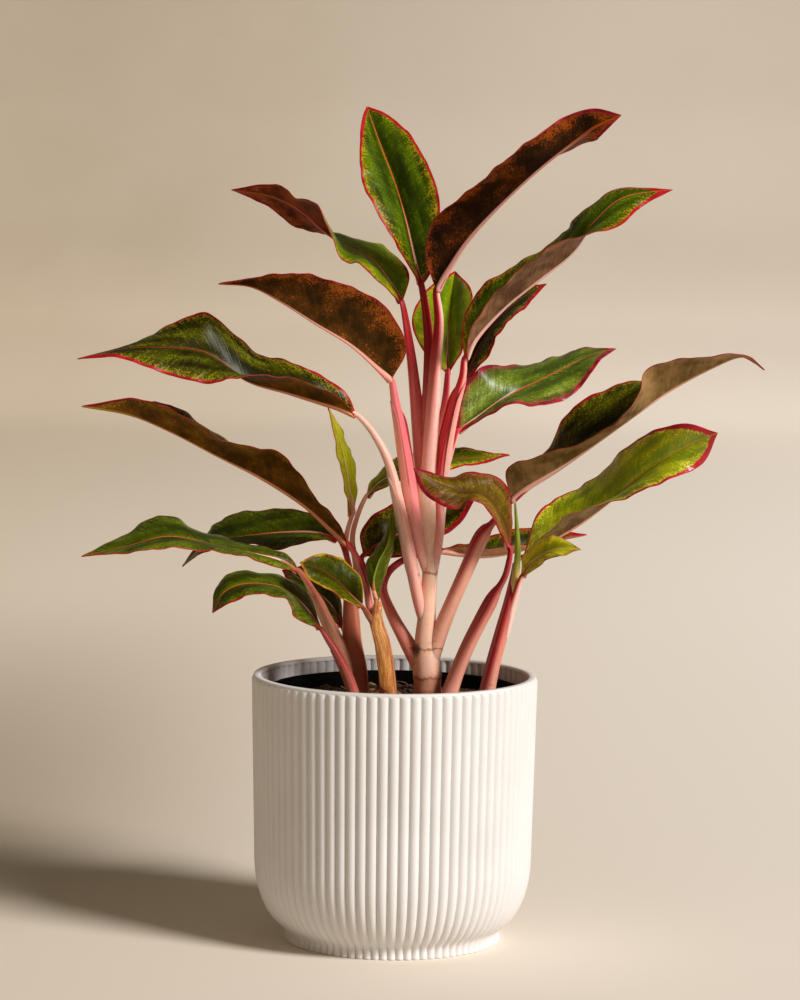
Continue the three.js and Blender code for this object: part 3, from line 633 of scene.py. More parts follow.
# A shoot's stalks, by the leaf that each carries: skin, how deep the channel is as a share of the radius,
# the way that it faces, rows of x, y, z and radius, and for some a sheath: the shares of the stalk where it
# starts and ends, and its half width at both.
SHOOTS = {
    "shoot_main": {
        "cane": ("cane", 0, (0, -1, 0), [
            (21, 0, 149, 8.9), (20.7, 0, 162, 8.6), (20.5, 0, 167, 9.1), (20.3, 0, 171, 8.9),
            (19.8, 0, 179, 8.2), (19.2, 0, 190, 6.9), (19.6, 0, 203, 5.8), (20.8, 0, 222, 5.0),
            (21.5, 0, 236, 4.9), (21, 0, 249, 5.6), (20.5, 0, 264, 8.2), (20, 1, 280, 10.2),
            (21, 1, 295, 8.4), (21, 2, 310, 5.0), (21, 2, 324, 2.0)]),
        "leaf_long_right": ("wine", 0.3, (-1, -0.3, 0.6), [
            (21, 0, 174, 6), (28, -2, 195, 5.2), (36, -4, 216, 4.8), (45, -7, 238, 4.9), (51, -9, 253, 5.2),
            (55, -10, 260, 4.6), (59, -11, 264.5, 2.6), (66, -12, 273, 2.3), (71, -12, 279, 1.8),
            (74.3, -13.9, 280.9, 1.5), (77.8, -15.3, 284, 1.15), (82.5, -16.6, 287.6, 0.7)]),
        "leaf_behind_cane_low": ("rosy", 0.2, (0.8, -0.5, 0.4), [
            (17, 1, 172, 6), (6, 6, 190, 4.6), (-3, 11, 206, 3.6), (-8, 14, 220, 2.8), (-5, 20, 230, 2.4),
            (4, 27, 237, 2.2), (15, 29, 241, 2), (27, 29, 244, 1.6), (30.4, 30.9, 243.1, 1.5),
            (35.1, 32.9, 243.1, 1.15), (40.8, 35, 243.3, 0.7)]),
        "leaf_dark": ("brown", 0, (0, -1, 0), [
            (-8, 14, 220, 2.6), (-17, 14, 230, 2.2), (-22, 15, 237, 2), (-21, 17, 241, 1.6),
            (-18.6, 19.9, 242.6, 1.5), (-15.2, 22.5, 245.4, 1.15), (-10.7, 25.3, 247.8, 0.7)]),
        "leaf_top": ("crimson", 0.45, (-0.3, -1, 0.1), [
            (18, 1, 284, 4.6), (18, 3, 320, 4.2), (19, 4, 350, 3.6), (19, 5, 375, 3.1), (17, 5, 396, 2.6),
            (14, 4, 412, 2.0), (12.6, 5.6, 415.5, 1.5), (11.3, 6.5, 420.3, 1.15), (9.9, 7.5, 426, 0.7)]),
        "leaf_top_right": ("pale", 0.45, (-1, -0.75, 0), [
            (20, -3, 280, 6), (21, -5, 320, 4.8), (23, -5, 360, 3.8), (25, -4, 390, 3.0),
            (23, -4, 409, 2.1), (25.4, -6, 411.7, 1.5), (27.6, -7.6, 415.8, 1.15),
            (30.3, -9.7, 420.7, 0.7)]),
        "leaf_upper_right": ("pink", 0.4, (-1, -0.7, 0.2), [
            (22, 0, 222, 2.4), (24.5, -1.5, 240, 3), (26, -3, 258, 3.9), (26, -3.5, 282, 5.4),
            (29, -7, 310, 4.6), (35, -9, 338, 3.1), (40, -9, 356, 2.4), (41, -9, 367, 1.9),
            (43.6, -10.3, 370.1, 1.5), (45.4, -12.3, 374.1, 1.15),
            (47.9, -14.7, 379.1, 0.7)], 0.2, 0.6, 6.4, 4.3),
        "leaf_behind_crown": ("rosy", 0.3, (-0.5, -1, 0), [
            (23, 4, 290, 4), (27, 9, 320, 3), (30, 11, 342, 2.2), (31, 12, 357, 1.7),
            (31.3, 15.3, 359.5, 1.5), (31.3, 18.3, 363.4, 1.15), (31.2, 22.1, 368.1, 0.7)]),
        "leaf_behind_right": ("rosy", 0.3, (-0.5, -1, 0), [
            (25, 3, 285, 4), (33, 9, 315, 3), (39, 19, 338, 2.2), (41, 23, 350, 1.7),
            (43, 25.3, 352.6, 1.5), (44.6, 27.6, 356.8, 1.15), (46.5, 30.4, 361.9, 0.7)]),
        "leaf_mid_right": ("pink", 0.3, (-0.6, -1, 0), [
            (24, 1, 280, 4), (31, 3, 303, 3), (35, 4, 315, 2.2), (37, 4, 321, 1.7), (40.1, 6.2, 322.5, 1.5),
            (44.1, 8, 325.3, 1.15), (48.6, 10, 328.5, 0.7)]),
        "leaf_upper_left": ("red", 0.4, (0.4, -1, 0), [
            (17, 2, 285, 5.2), (13, 4, 325, 4.4), (9, 6, 360, 3.2), (5, 6, 386, 2.3), (2, 6, 401, 1.7),
            (-0.2, 8.2, 403.9, 1.5), (-2.4, 9.7, 408, 1.15), (-5.4, 11.7, 412.7, 0.7)]),
        "leaf_left_brown": ("blushing", 0.4, (1, -0.6, 0.2), [
            (20, 0, 232, 3), (15, -3, 250, 4.2), (11, -6, 270, 4.7), (6.5, -8.5, 296, 4.4),
            (1.5, -9, 325, 3.4), (-2, -8, 342, 2.7), (-4, -8, 353, 2.0), (-6.9, -10.4, 354.6, 1.5),
            (-10.2, -12.8, 357.7, 1.15), (-14.3, -15.1, 361.4, 0.7)], 0.16, 0.55, 7, 4.4),
        "leaf_left": ("cream", 0.4, (1, -0.5, 0.5), [
            (19, 0, 196, 2.6), (14.5, -3, 214, 3.6), (9.5, -8, 240, 4.2), (2.5, -14.5, 273, 3.7),
            (-5, -17, 302, 2.9), (-15, -17, 321, 2.2), (-25, -16, 332, 1.7), (-29.1, -16.7, 332.5, 1.5),
            (-33.6, -18, 334.2, 1.15), (-38.9, -19.6, 336.2, 0.7)], 0.16, 0.42, 4.8, 4.1),
    },
    "shoot_right": {
        "leaf_curled": ("ruby", 0.4, (-1, -0.6, 0.5), [
            (33, -13, 149, 5.6), (37, -12, 166, 4.9), (45, -13, 187, 4.6), (53, -15, 204, 4.5),
            (59, -17, 216, 4.4), (62, -18, 222, 3.4), (65, -18.5, 227, 2.2), (68, -19, 233, 2),
            (70, -20, 241, 1.9), (71, -20, 249, 1.6), (68.7, -20.2, 252.5, 1.5), (66.8, -21.3, 256.8, 1.15),
            (64.4, -22.9, 262.2, 0.7)]),
    },
    "shoot_outer_right": {
        "stem": ("wine", 0.3, (-1, -0.4, 0.3), [
            (57, -8, 149, 5.4), (60, -9, 170, 5), (66, -10, 195, 4.6), (71, -11, 215, 4.0),
            (74, -9, 231, 3.0), (75, -8, 240, 2.2)]),
        "spear": ("spear", 0, (0, -1, 0), [
            (74, -12, 222, 2.4), (75, -12, 234, 2.4), (76, -10, 248, 1.9), (75, -8, 266, 1.2),
            (74, -7, 278, 0.6), (74, -7, 286, 0.2)]),
        "leaf_small_right": ("pale", 0.3, (-1, -0.3, 0.5), [
            (68.5, -10, 194, 2.6), (71.5, -11.5, 208, 2.9), (75, -14, 222, 2.4), (78, -18, 232, 1.7),
            (80.2, -20, 234.8, 1.5), (81.7, -23.1, 238.4, 1.15), (84, -27, 242.2, 0.7)]),
        "leaf_low_right": ("wine", 0.3, (-1, -0.3, 0.5), [
            (72, -10, 216, 2.8), (75, -6, 228, 2.3), (75, -4, 238, 2), (78, -4, 243, 1.6),
            (82.9, -4, 244.6, 1.5), (87, -4.6, 247.3, 1.15), (92.1, -6, 250.6, 0.7)]),
    },
    "shoot_left_front": {
        "leaf_drooping": ("brown", 0.3, (1, -0.4, 0.5), [
            (-24, -19, 149, 3.8), (-28, -19, 166, 3.6), (-36, -19, 183, 2.8), (-42, -19, 192, 2),
            (-46, -19, 198, 1.5), (-48.7, -20.7, 200.7, 1.5), (-50.8, -23.3, 204.5, 1.15),
            (-53.1, -26.3, 208.8, 0.7)], 0.094, 0.413, 3.9, 3.4),
    },
    "shoot_left": {
        "stem": ("tan", 0.2, (0, -1, 0), [
            (-23, -4, 149, 6.8), (-24, -3, 170, 6.8), (-27, -1, 188, 6.2), (-28, 2, 206, 5.2),
            (-29, 4, 222, 3.6)]),
        "leaf_low_left": ("tan", 0.35, (1, -0.4, 0.5), [
            (-25, -4, 160, 4), (-34, -6, 184, 4.6), (-45, -7, 207, 3.8), (-54, -8, 224, 2.4),
            (-60, -9, 233, 1.7), (-63.7, -9.6, 234.7, 1.5), (-67.4, -11.2, 237.8, 1.15),
            (-72.2, -13.4, 240.4, 0.7)], 0.086, 0.411, 5.4, 4.2),
        "leaf_behind_left": ("rosy", 0.2, (0, -1, 0), [
            (-28, 2, 204, 3.6), (-29, 8, 230, 2.2), (-32, 12, 243, 1.8), (-36, 14, 251, 1.5),
            (-40.4, 16.4, 251.4, 1.5), (-44.6, 18.5, 252.9, 1.15), (-49.9, 20.8, 254.2, 0.7)]),
        "leaf_upright": ("ivory", 0.2, (0, -1, 0), [
            (-27, 3, 204, 3.6), (-30, 12, 232, 2), (-32, 18, 250, 1.7), (-29, 21, 264, 1.4),
            (-27.5, 22.7, 268, 1.5), (-28.1, 22.9, 272.9, 1.15), (-28.9, 23.2, 278.9, 0.7)]),
        "leaf_behind_cane_high": ("ivory", 0.2, (0, -1, 0), [
            (-26, 3, 200, 3.6), (-25, 17, 230, 2.2), (-28, 24, 250, 1.8), (-25, 26, 265, 1.6),
            (-20, 26, 277, 1.4), (-16.9, 27.5, 279.3, 1.5), (-14, 29, 283.1, 1.15),
            (-9.9, 30.4, 286.8, 0.7)]),
        "leaf_hidden_left": ("brown", 0.2, (0, -1, 0), [
            (-28, 1, 178, 4), (-30, 5, 188, 2.4), (-33, 8, 196, 1.6), (-35.4, 9.9, 198.8, 1.5),
            (-37.5, 11.5, 203, 1.15), (-40.2, 13.5, 207.8, 0.7)]),
    },
    "shoot_papery": {
        "leaf_folded": ("papery", 0.2, (0.3, -1, 0), [
            (-3, -14, 149, 5.2), (-4, -15, 160, 5.4), (-5.5, -16, 174, 5.2), (-8, -18, 190, 4.9),
            (-11, -20, 203, 3.6), (-12, -22, 211, 2.4), (-12, -24, 216, 1.5), (-12.5, -23.7, 219.1, 1.5),
            (-13.6, -24.6, 223.9, 1.15), (-13.9, -25.2, 229.6, 0.7)]),
        "husk": ("husk", 0, (-1, 0.2, 0), [
            (-3, -14, 149, 4), (-4, -15, 160, 4.4), (-5.5, -16, 174, 4.2), (-8, -18, 190, 3.8),
            (-10.5, -19.5, 203, 2.4), (-10, -21, 216, 1)], 0.05, 0.98, 7, 5.2),
        "leaf_long_left": ("coral", 0.3, (1, -0.5, 0), [
            (-10, -18, 190, 3), (-16, -15, 212, 2.5), (-19, -11, 228, 2.3), (-24, -6, 241, 2.1),
            (-30, -4, 250, 1.8), (-33.6, -5.4, 251.9, 1.5), (-37.1, -6.8, 255.2, 1.15),
            (-41.1, -8.5, 259.1, 0.7)]),
        "leaf_small_front": ("tan", 0.2, (0, -1, 0), [
            (-9, -18, 194, 3), (-13, -21, 202, 2.4), (-17, -24, 208, 1.9), (-20, -26, 213, 1.5),
            (-23.1, -26.5, 215.6, 1.5), (-26.2, -28, 219.2, 1.15), (-30, -30.2, 223.3, 0.7)]),
    },
}


def length_of(vectors):
    return np.linalg.norm(vectors, axis=-1, keepdims=True)


def travelled_along(points):
    """How far each point lies along the way through them."""
    return np.concatenate([[0], np.cumsum(length_of(np.diff(points, axis=0))[:, 0])])


def smooth_curve(points, shares):
    """Places on the smooth curve through the points, at shares of the way from the first to the last."""
    points = np.array(points, float)
    padded = np.vstack([2 * points[0] - points[1], points, 2 * points[-1] - points[-2]])
    place = np.clip(shares, 0, 1 - 1e-9) * (len(points) - 1)
    row = place.astype(int)
    t = (place - row)[:, None]
    a, b, c, d = (padded[row + k] for k in range(4))
    return b + 0.5 * t * (c - a + t * (2 * a - 5 * b + 4 * c - d + t * (3 * (b - c) + d - a)))


def soft_step(value, low, high):
    share = np.clip((value - low) / (high - low), 0, 1)
    return share * share * (3 - 2 * share)


def frame_along(rows, facing, shares):
    """Along a stalk's way: its middles, radii, the way towards the channel, the way across, and lengths."""
    way = smooth_curve(rows, shares)
    centre, radius = way[:, :3], way[:, 3]
    tangent = np.gradient(centre, axis=0)
    tangent /= length_of(tangent)
    inner = np.array(facing, float) - tangent * (tangent @ np.array(facing, float))[:, None]
    inner /= length_of(inner)
    return centre, radius, inner, np.cross(tangent, inner), travelled_along(centre)


def station_count(rows, share=1.0):
    length = length_of(np.diff(np.array(rows, float)[:, :3], axis=0)).sum()
    return max(12, round(length * share / STATION))


def skinned_grid(columns, stations, lay):
    """A grid laid out by a function of how far across, from -1 to 1, and of the station: it gives the
    spot, the place on the stalk and the colour there."""
    bpy.ops.mesh.primitive_grid_add(x_subdivisions=columns, y_subdivisions=stations, size=2)
    piece = bpy.context.object
    colours, places = [], []
    for vertex in piece.data.vertices:
        spot, place, colour = lay(vertex.co.x, round((vertex.co.y + 1) / 2 * stations))
        vertex.co = spot * MM
        places += place
        colours += list(colour)
    piece.data.attributes.new("skin", "FLOAT_COLOR", "POINT").data.foreach_set("color", colours)
    piece.data.attributes.new("stalk", "FLOAT_VECTOR", "POINT").data.foreach_set("vector", places)
    return piece


def stalk(skin, depth, facing, rows):
    """A grid wrapped round the way through the rows, sunk along the side that faces the shoot."""
    stations = station_count(rows)
    along = np.linspace(0, 1, stations + 1)
    centre, radius, inner, side, travelled = frame_along(rows, facing, along)
    open_share = soft_step(along, 0.05, 0.4) * (1 - 0.6 * soft_step(along, 0.75, 1))
    foot, top, channel = (np.array(paint(code)) for code in SKINS[skin])

    def lay(across, row):
        angle = math.pi * across
        turn = abs(angle)
        dip = depth * open_share[row] * math.exp(-(turn / CHANNEL_HALF_ANGLE) ** 2)
        lips = LIP_SHARE * depth * open_share[row] * math.exp(-((turn - LIP_ANGLE) / LIP_HALF_ANGLE) ** 2)
        reach = radius[row] * (1 - dip + lips)
        spot = centre[row] + reach * (math.cos(angle) * inner[row] + math.sin(angle) * side[row])
        place = [radius[row] * math.cos(angle), radius[row] * math.sin(angle), travelled[row]]
        outside = foot + (top - foot) * soft_step(along[row], 0.1, 0.8)
        inside = soft_step(math.cos(angle), -0.1, 0.55) * soft_step(along[row], 0.0, 0.4)
        return spot, place, outside + (channel - outside) * inside

    piece = skinned_grid(TUBE_SIDES, stations, lay)
    welded(0.00001)
    return piece


def sheath(skin, facing, rows, start, end, low, high):
    """The winged lower part of a stalk: a trough open towards the channel's side, whose two margins run
    out in points at the stalk's back."""
    stations = station_count(rows, end - start)
    steps = np.linspace(0, 1, stations + 1)
    shares = start + (end - start) * steps
    centre, radius, inner, side, travelled = frame_along(rows, facing, shares)
    foot, top, channel = (np.array(paint(code)) for code in SKINS[skin])
    opening = soft_step(steps, 0, 0.25)
    closing = np.sqrt(np.clip(1 - (np.clip(steps - SHEATH_TIP, 0, 1) / (1 - SHEATH_TIP)) ** 2, 0, 1))
    closing *= opening
    least = radius - 0.8 + 0.88 * opening
    reach = np.maximum((low + (high - low) * steps) * closing, least)
    half_angle = SHEATH_HALF_ANGLE * (0.35 + 0.65 * closing)

    def lay(across, row):
        angle = math.pi + across * half_angle[row]
        middle = centre[row] + (reach[row] - least[row]) * inner[row]
        spot = middle + reach[row] * (math.cos(angle) * inner[row] + math.sin(angle) * side[row])
        place = [reach[row] * math.cos(angle), reach[row] * math.sin(angle), travelled[row]]
        outside = foot + (top - foot) * soft_step(shares[row], 0.1, 0.8)
        edge = soft_step(abs(across), 0.6, 1.0) * steps[row]
        return spot, place, outside + (channel - outside) * 0.55 * edge

    piece = skinned_grid(SHEATH_COLUMNS, stations, lay)
    thicken = piece.modifiers.new("thickness", "SOLIDIFY")
    thicken.thickness = SHEATH_THICKNESS
    thicken.offset = 1
    thicken.material_offset = 0
    bpy.ops.object.modifier_apply(modifier="thickness")
    linings = piece.data.attributes["skin"].data
    for polygon in piece.data.polygons:
        polygon.use_smooth = True
    half = len(piece.data.vertices) // 2
    for index in range(half, 2 * half):
        linings[index].color = list(np.array(linings[index].color) * 0.15 + channel * 0.85)
    return piece


def stalk_skin(name, veil, streaked, relief):
    """Skin in the colours laid on in the mesh: finely streaked and freckled along the stalk, and scuffed
    brown near the soil. The cane also has the scars of its fallen leaves and a dark patch on its left."""
    material, place, shader = new_finish(name, 0.42, Specular_IOR_Level=0.3, Subsurface_Weight=0.3,
                                         Subsurface_Radius=(1.0, 0.3, 0.2), Subsurface_Scale=0.004)
    x, z = place.axis("X"), place.axis("Z")
    skin = place.attribute("skin", "Color")
    streaks = place.attribute("stalk", "Vector").stretched((1.1, 1.1, 0.07)).grain(1.0, 3.0, 0.6)
    freckles = place.grain(620, 3.0, 0.7)
    fibrous = streaks * streaked + freckles * (1 - streaked)
    darker = place.node("Mix", {"data_type": "RGBA", "blend_type": "MULTIPLY"},
                        {0: 1.0, 6: skin, 7: paint(veil)}, out=2)
    colour = fibrous.rise(0.3, 0.7).mix(darker, skin)
    scuffs = place.stretched((1.0, 1.0, 1.8)).grain(95, 4.0, 0.7).rise(0.56, 0.68)
    colour = (scuffs * z.rise(0.215, 0.16) * 0.6).mix(colour, "#a8642c")
    uneven = z + (place.grain(130, 3.0, 0.7) - 0.5) * 0.008
    off_middle = abs(x - CANE_X)
    for height, reach in CANE_SCARS:
        scar = abs(uneven - height).rise(0.0011, 0.0003) * off_middle.rise(reach + 0.001, reach - 0.001)
        colour = (scar * 0.75).mix(colour, "#9c6034")
    # A dark patch on the cane's left side, where a back stalk meets the cane.
    off_dark_patch = place.node("VectorMath", {"operation": "DISTANCE"},
                            {0: place.stretched(DARK_PATCH_STRETCH), 1: DARK_PATCH}, out="Value")
    dark_patch = (off_dark_patch + (place.grain(210, 3.0, 0.7) - 0.5) * 0.003).rise(0.0034, 0.0012)
    feed(shader, Base_Color=(dark_patch * 0.85).mix(colour, "#3c1808"), Roughness=freckles * 0.2 + 0.32,
         Normal=fibrous.bump(relief, 0.0004))
    return material


def grown(name, stalks):
    """A shoot: its stalks and their sheaths, joined, with the first stalk's foot sunk in the soil."""
    pieces = []
    for skin, depth, facing, rows, *winged in stalks:
        if not pieces:
            x, y, z, radius = rows[0]
            rows = [(x, y, z - STEM_SINK, radius), *rows]
        pieces.append(stalk(skin, depth, facing, rows))
        if winged:
            pieces.append(sheath(skin, facing, rows, *winged))
    return joined(name, pieces)


fleshy = stalk_skin("stalk_skin", "#f6dcd2", 0.6, 0.15)
dry = stalk_skin("papery_skin", "#b4845c", 0.8, 0.9)
for name, stalks in SHOOTS.items():
    shoot = grown(name + "_stalks", stalks.values())
    bpy.ops.object.shade_smooth_by_angle(angle=math.radians(50))
    shoot.data.materials.append(dry if name == "shoot_papery" else fleshy)
    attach(shoot, "root")
    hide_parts(name)

# ---- Leaf blades ---------------------------------------------------------------------------------
# Twenty-four leaves, each one blade of its own: green and glossy above, brown or tan below, with a red
# margin, a pink midrib and mottles of yellow or rust. A grid is drawn through its midrib and margins,
# waved at the margins, and given its thickness, which is greatest along the midrib's underside.
BLADE_ROWS = 72
HALF_BLADE_COLUMNS = 11
BLADE_THICKNESS = 0.0022
THINNEST = 0.2
CAMBER = 0.08
SHARPNESS = 1.75
LEAST_LEAN = 0.15
BLADE_START = 0.9
BASE_REACH = 1.2
TIP_REACH = 0.25
WAVE_LENGTH = 24
WAVE_HEIGHT = 0.7
SHORT_WAVE = 0.53
SHORT_WAVE_HEIGHT = 0.6
VEIN_SPACING = 7.5
VEIN_LEAN = 0.8
VEIN_HEIGHT = 0.16
RIB_HALF_WIDTH = 1.7
RIB_TAPER = 1.25
RIB_DEPTH = 0.45
UNDER_MARGIN = 0.7

# name: finish above, finish below, width, widest share, which way each half leans (1 to the front), and
# the way from base to tip: the midrib's x, y, z, then the left margin's x, z and the right margin's x, z.
LEAVES = {
    "leaf_top": ("bright", "maroon", 54, 0.52, (1, 1), [
        (14, 4, 412), (10, 7, 427, 3, 429, 21, 425), (4, 12, 452, -9, 449, 25, 458),
        (-3, 20, 475, -23, 474, 21, 479), (-13, 38, 500, -26, 496, 8, 504),
        (-19, 52, 516, -25, 516, -6, 518), (-22, 61, 525)]),
    "leaf_top_right": ("deep", "maroon", 56, 0.45, (-1, 1), [
        (23, -4, 409), (31, -10, 423, 28, 426, 16, 431), (43, -20, 442, 37, 448, 21, 454),
        (62, -34, 464, 58, 468, 45, 475), (85, -52, 486, 83, 488, 69, 496),
        (109, -63, 505, 117, 503, 97, 516), (117, -67, 511, 120, 505, 115, 522), (132, -71, 518)]),
    "leaf_upper_right": ("bright", "grey", 52, 0.42, (-1, 1), [
        (41, -9, 367), (49, -16, 382, 39, 388, 44, 386), (66, -24, 401, 50, 412, 57, 408),
        (86, -33, 418, 74, 428, 77, 428), (105, -38, 434, 98, 444, 100, 443),
        (119, -38, 454, 109, 457, 130, 450), (137, -35, 469, 133, 474, 149, 464), (167, -33, 474)]),
    "leaf_behind_crown": ("fresh", "grey", 46, 0.5, (1, 1), [
        (31, 12, 357), (31, 25, 372, 16, 370, 40, 372), (32, 46, 387, 8, 389, 45, 390),
        (34, 68, 403, 17, 408, 46, 409), (36, 93, 420)]),
    "leaf_behind_right": ("deep", "grey", 44, 0.5, (-1, 1), [
        (41, 23, 350), (50, 35, 371, 43, 379, 57, 369), (61, 46, 388, 53, 398, 65, 385),
        (78, 60, 403, 72, 409, 82, 400), (95, 74, 413)]),
    "leaf_mid_right": ("mottled", "tan", 52, 0.5, (-1, 1), [
        (37, 4, 321), (50, 10, 330, 40, 346, 52, 329), (67, 18, 342, 54, 362, 70, 339),
        (86, 30, 351, 78, 361, 92, 338), (105, 41, 360, 100, 366, 112, 345),
        (121, 50, 367, 118, 372, 127, 364), (140, 65, 372)]),
    "leaf_long_right": ("deep", "tan", 60, 0.45, (-1, 1), [
        (71, -12, 279), (82, -16, 288, 79, 292, 68, 300), (101, -20, 301, 94, 312, 87, 310),
        (124, -26, 318, 107, 337, 118, 322), (146, -32, 335, 133, 352, 142, 342),
        (166, -36, 350, 159, 358, 153, 366), (193, -42, 366, 190, 369, 185, 373),
        (211, -46, 373, 210, 372, 211, 374), (224, -49, 365)]),
    "leaf_low_right": ("sunlit", "tan", 60, 0.45, (-1, 1), [
        (79, -4, 243), (93, -7, 252, 88, 271, 91, 258), (114, -17, 266, 103, 282, 108, 275),
        (132, -24, 281, 123, 293, 135, 284), (155, -33, 302, 148, 319, 162, 296),
        (179, -41, 318, 174, 331, 187, 306), (196, -48, 326)]),
    "leaf_curled": ("dusky", "rust", 32, 0.5, (1, -1), [
        (71, -20, 249), (67, -24, 264, 63, 263, 72, 269), (61, -30, 277, 55, 278, 71, 282),
        (53, -35, 286, 46, 282, 64, 295), (41, -38, 288, 35, 277, 49, 299),
        (29, -41, 291, 24, 281, 33, 296), (18, -43, 296, 15, 288, 21, 299), (10, -45, 302)]),
    "leaf_small_right": ("golden", "tan", 26, 0.5, (-1, 1), [
        (78, -18, 232), (83, -27, 242, 79, 245, 87, 240), (92, -38, 250, 89, 258, 95, 248),
        (103, -46, 254, 101, 260, 105, 251), (113, -52, 254)]),
    "leaf_behind_cane_low": ("deep", "blush", 34, 0.5, (-1, 1), [
        (27, 29, 244), (39, 34, 241, 38, 246, 38, 247), (57, 40, 239, 55, 249, 56, 246),
        (76, 47, 241, 74, 255, 75, 247), (98, 54, 247, 98, 255, 99, 251), (123, 60, 252)]),
    "leaf_behind_cane_high": ("limy", "tan", 38, 0.4, (-1, 1), [
        (-20, 26, 277), (-11, 30, 287, -15, 289, -7, 285), (7, 34, 296, 2, 302, 9, 291),
        (30, 38, 301, 28, 309, 31, 296), (54, 42, 302, 54, 306, 54, 299), (72, 46, 304)]),
    "leaf_dark": ("deep", "maroon", 44, 0.5, (-1, 1), [
        (-21, 17, 241), (-13, 23, 247, -23, 255, -6, 239), (0, 31, 253, -13, 267, 10, 242),
        (16, 37, 262, 5, 274, 27, 252), (35, 42, 270, 30, 277, 41, 261), (50, 46, 275)]),
    "leaf_upper_left": ("fresh", "chestnut", 48, 0.42, (1, -1), [
        (2, 6, 401), (-5, 11, 413, -10, 412, 6, 420), (-18, 20, 429, -25, 425, -8, 435),
        (-34, 28, 437, -38, 430, -28, 441), (-49, 35, 446, -50, 460, -50, 444),
        (-63, 42, 458, -66, 467, -66, 447), (-82, 47, 467, -80, 475, -86, 461), (-108, 53, 471)]),
    "leaf_left_brown": ("bright", "rust", 64, 0.42, (1, -1), [
        (-4, -8, 353), (-13, -14, 361, 5, 376, -12, 366), (-30, -23, 376, -10, 402, -22, 388),
        (-51, -33, 389, -36, 415, -46, 400), (-71, -42, 402, -61, 421, -67, 410),
        (-90, -50, 412, -83, 419, -88, 415), (-110, -57, 414)]),
    "leaf_left": ("deep", "olive", 56, 0.42, (1, -1), [
        (-25, -16, 332), (-39, -20, 337, -38, 345, -35, 349), (-67, -28, 346, -66, 357, -64, 364),
        (-93, -34, 354, -93, 358, -89, 371), (-118, -38, 371, -117, 353, -118, 395),
        (-146, -44, 374, -146, 360, -146, 385), (-169, -48, 373, -169, 368, -167, 374), (-196, -52, 367)]),
    "leaf_long_left": ("deep", "olive", 56, 0.45, (1, -1), [
        (-30, -4, 250), (-42, -9, 261, -35, 264, -39, 262), (-58, -17, 276, -50, 283, -57, 278),
        (-84, -27, 293, -71, 310, -81, 299), (-112, -36, 308, -103, 318, -114, 320),
        (-138, -45, 322, -132, 335, -139, 338), (-163, -54, 333, -159, 344, -162, 340), (-192, -65, 339)]),
    "leaf_behind_left": ("plain", "olive", 44, 0.5, (1, -1), [
        (-37, 14, 251), (-52, 21, 255, -52, 251, -50, 266), (-74, 28, 254, -74, 245, -78, 268),
        (-99, 37, 250, -98, 248, -109, 262), (-122, 45, 244, -121, 241, -124, 248), (-138, 50, 229)]),
    "leaf_low_left": ("plain", "grey", 46, 0.55, (1, -1), [
        (-60, -9, 233), (-72, -14, 241, -75, 237, -70, 245), (-94, -23, 247, -96, 246, -92, 250),
        (-119, -29, 253, -118, 250, -123, 258), (-142, -36, 257, -141, 252, -146, 269),
        (-167, -43, 251, -164, 249, -169, 257), (-193, -52, 246)]),
    "leaf_drooping": ("plain", "rust", 44, 0.5, (1, -1), [
        (-46, -19, 198), (-56, -30, 214, -61, 208, -53, 217), (-70, -38, 226, -68, 222, -66, 229),
        (-89, -48, 230, -88, 225, -94, 236), (-104, -56, 226, -102, 219, -110, 229), (-112, -61, 213)]),
    "leaf_small_front": ("olive", "olive", 30, 0.5, (1, -1), [
        (-20, -26, 213), (-28, -30, 222, -30, 219, -22, 233), (-39, -36, 233, -42, 227, -35, 244),
        (-50, -42, 240, -54, 234, -47, 248), (-59, -45, 243)]),
    "leaf_upright": ("young", "olive", 22, 0.5, (1, -1), [
        (-28, 22, 264), (-30, 23, 282, -32, 280, -25, 285), (-33, 25, 300, -36, 297, -29, 304),
        (-38, 27, 318, -40, 315, -36, 320), (-44, 30, 334)]),
    "leaf_folded": ("tucked", "rust", 26, 0.5, (-1, -1), [
        (-12, -24, 215), (-14, -26, 228, -18, 233, -8, 226), (-11, -25, 241, -17, 244, -4, 242),
        (-5, -22, 254, -8, 256, 0, 257), (-3, -20, 275)]),
    "leaf_hidden_left": ("bright", "maroon", 34, 0.5, (1, -1), [
        (-33, 8, 196), (-41, 14, 210, -49, 207, -35, 213), (-53, 22, 219, -60, 214, -45, 227),
        (-64, 30, 226, -68, 222, -58, 232), (-73, 37, 229)]),
}


def leaf_rails(width, widest, near, way):
    """The left margin, the midrib and the right margin, as rows of points."""
    rib = np.array([row[:3] for row in way], float)
    rib[0] += BLADE_START * (rib[1] - rib[0]) / np.linalg.norm(rib[1] - rib[0])
    steps = length_of(np.diff(rib, axis=0))[:, 0]
    shares = np.cumsum(steps)[:-1] / steps.sum()
    before = (shares / widest) ** (SHARPNESS * widest)
    after = ((1 - shares) / (1 - widest)) ** (SHARPNESS * (1 - widest))
    halves = width / 2 * before * after
    margins = []
    for side in range(2):
        margin = np.array([(row[3 + 2 * side], row[1], row[4 + 2 * side]) for row in way[1:-1]], float)
        seen = np.hypot(margin[:, 0] - rib[1:-1, 0], margin[:, 2] - rib[1:-1, 2])
        lean = np.sqrt(np.maximum(halves ** 2 - seen ** 2, (LEAST_LEAN * halves) ** 2))
        margin[:, 1] -= near[side] * lean
        margins.append(margin)
    across = [margins[0][end] - margins[1][end] for end in (0, -1)]
    first, last = (direction / np.linalg.norm(direction) for direction in across)
    rails = []
    for side, margin in zip((1, -1), margins):
        ends = rib[0] + side * BASE_REACH * first, rib[-1] + side * TIP_REACH * last
        rails.append(np.vstack([ends[0], margin, ends[1]]))
    return rails[0], rib, rails[1]


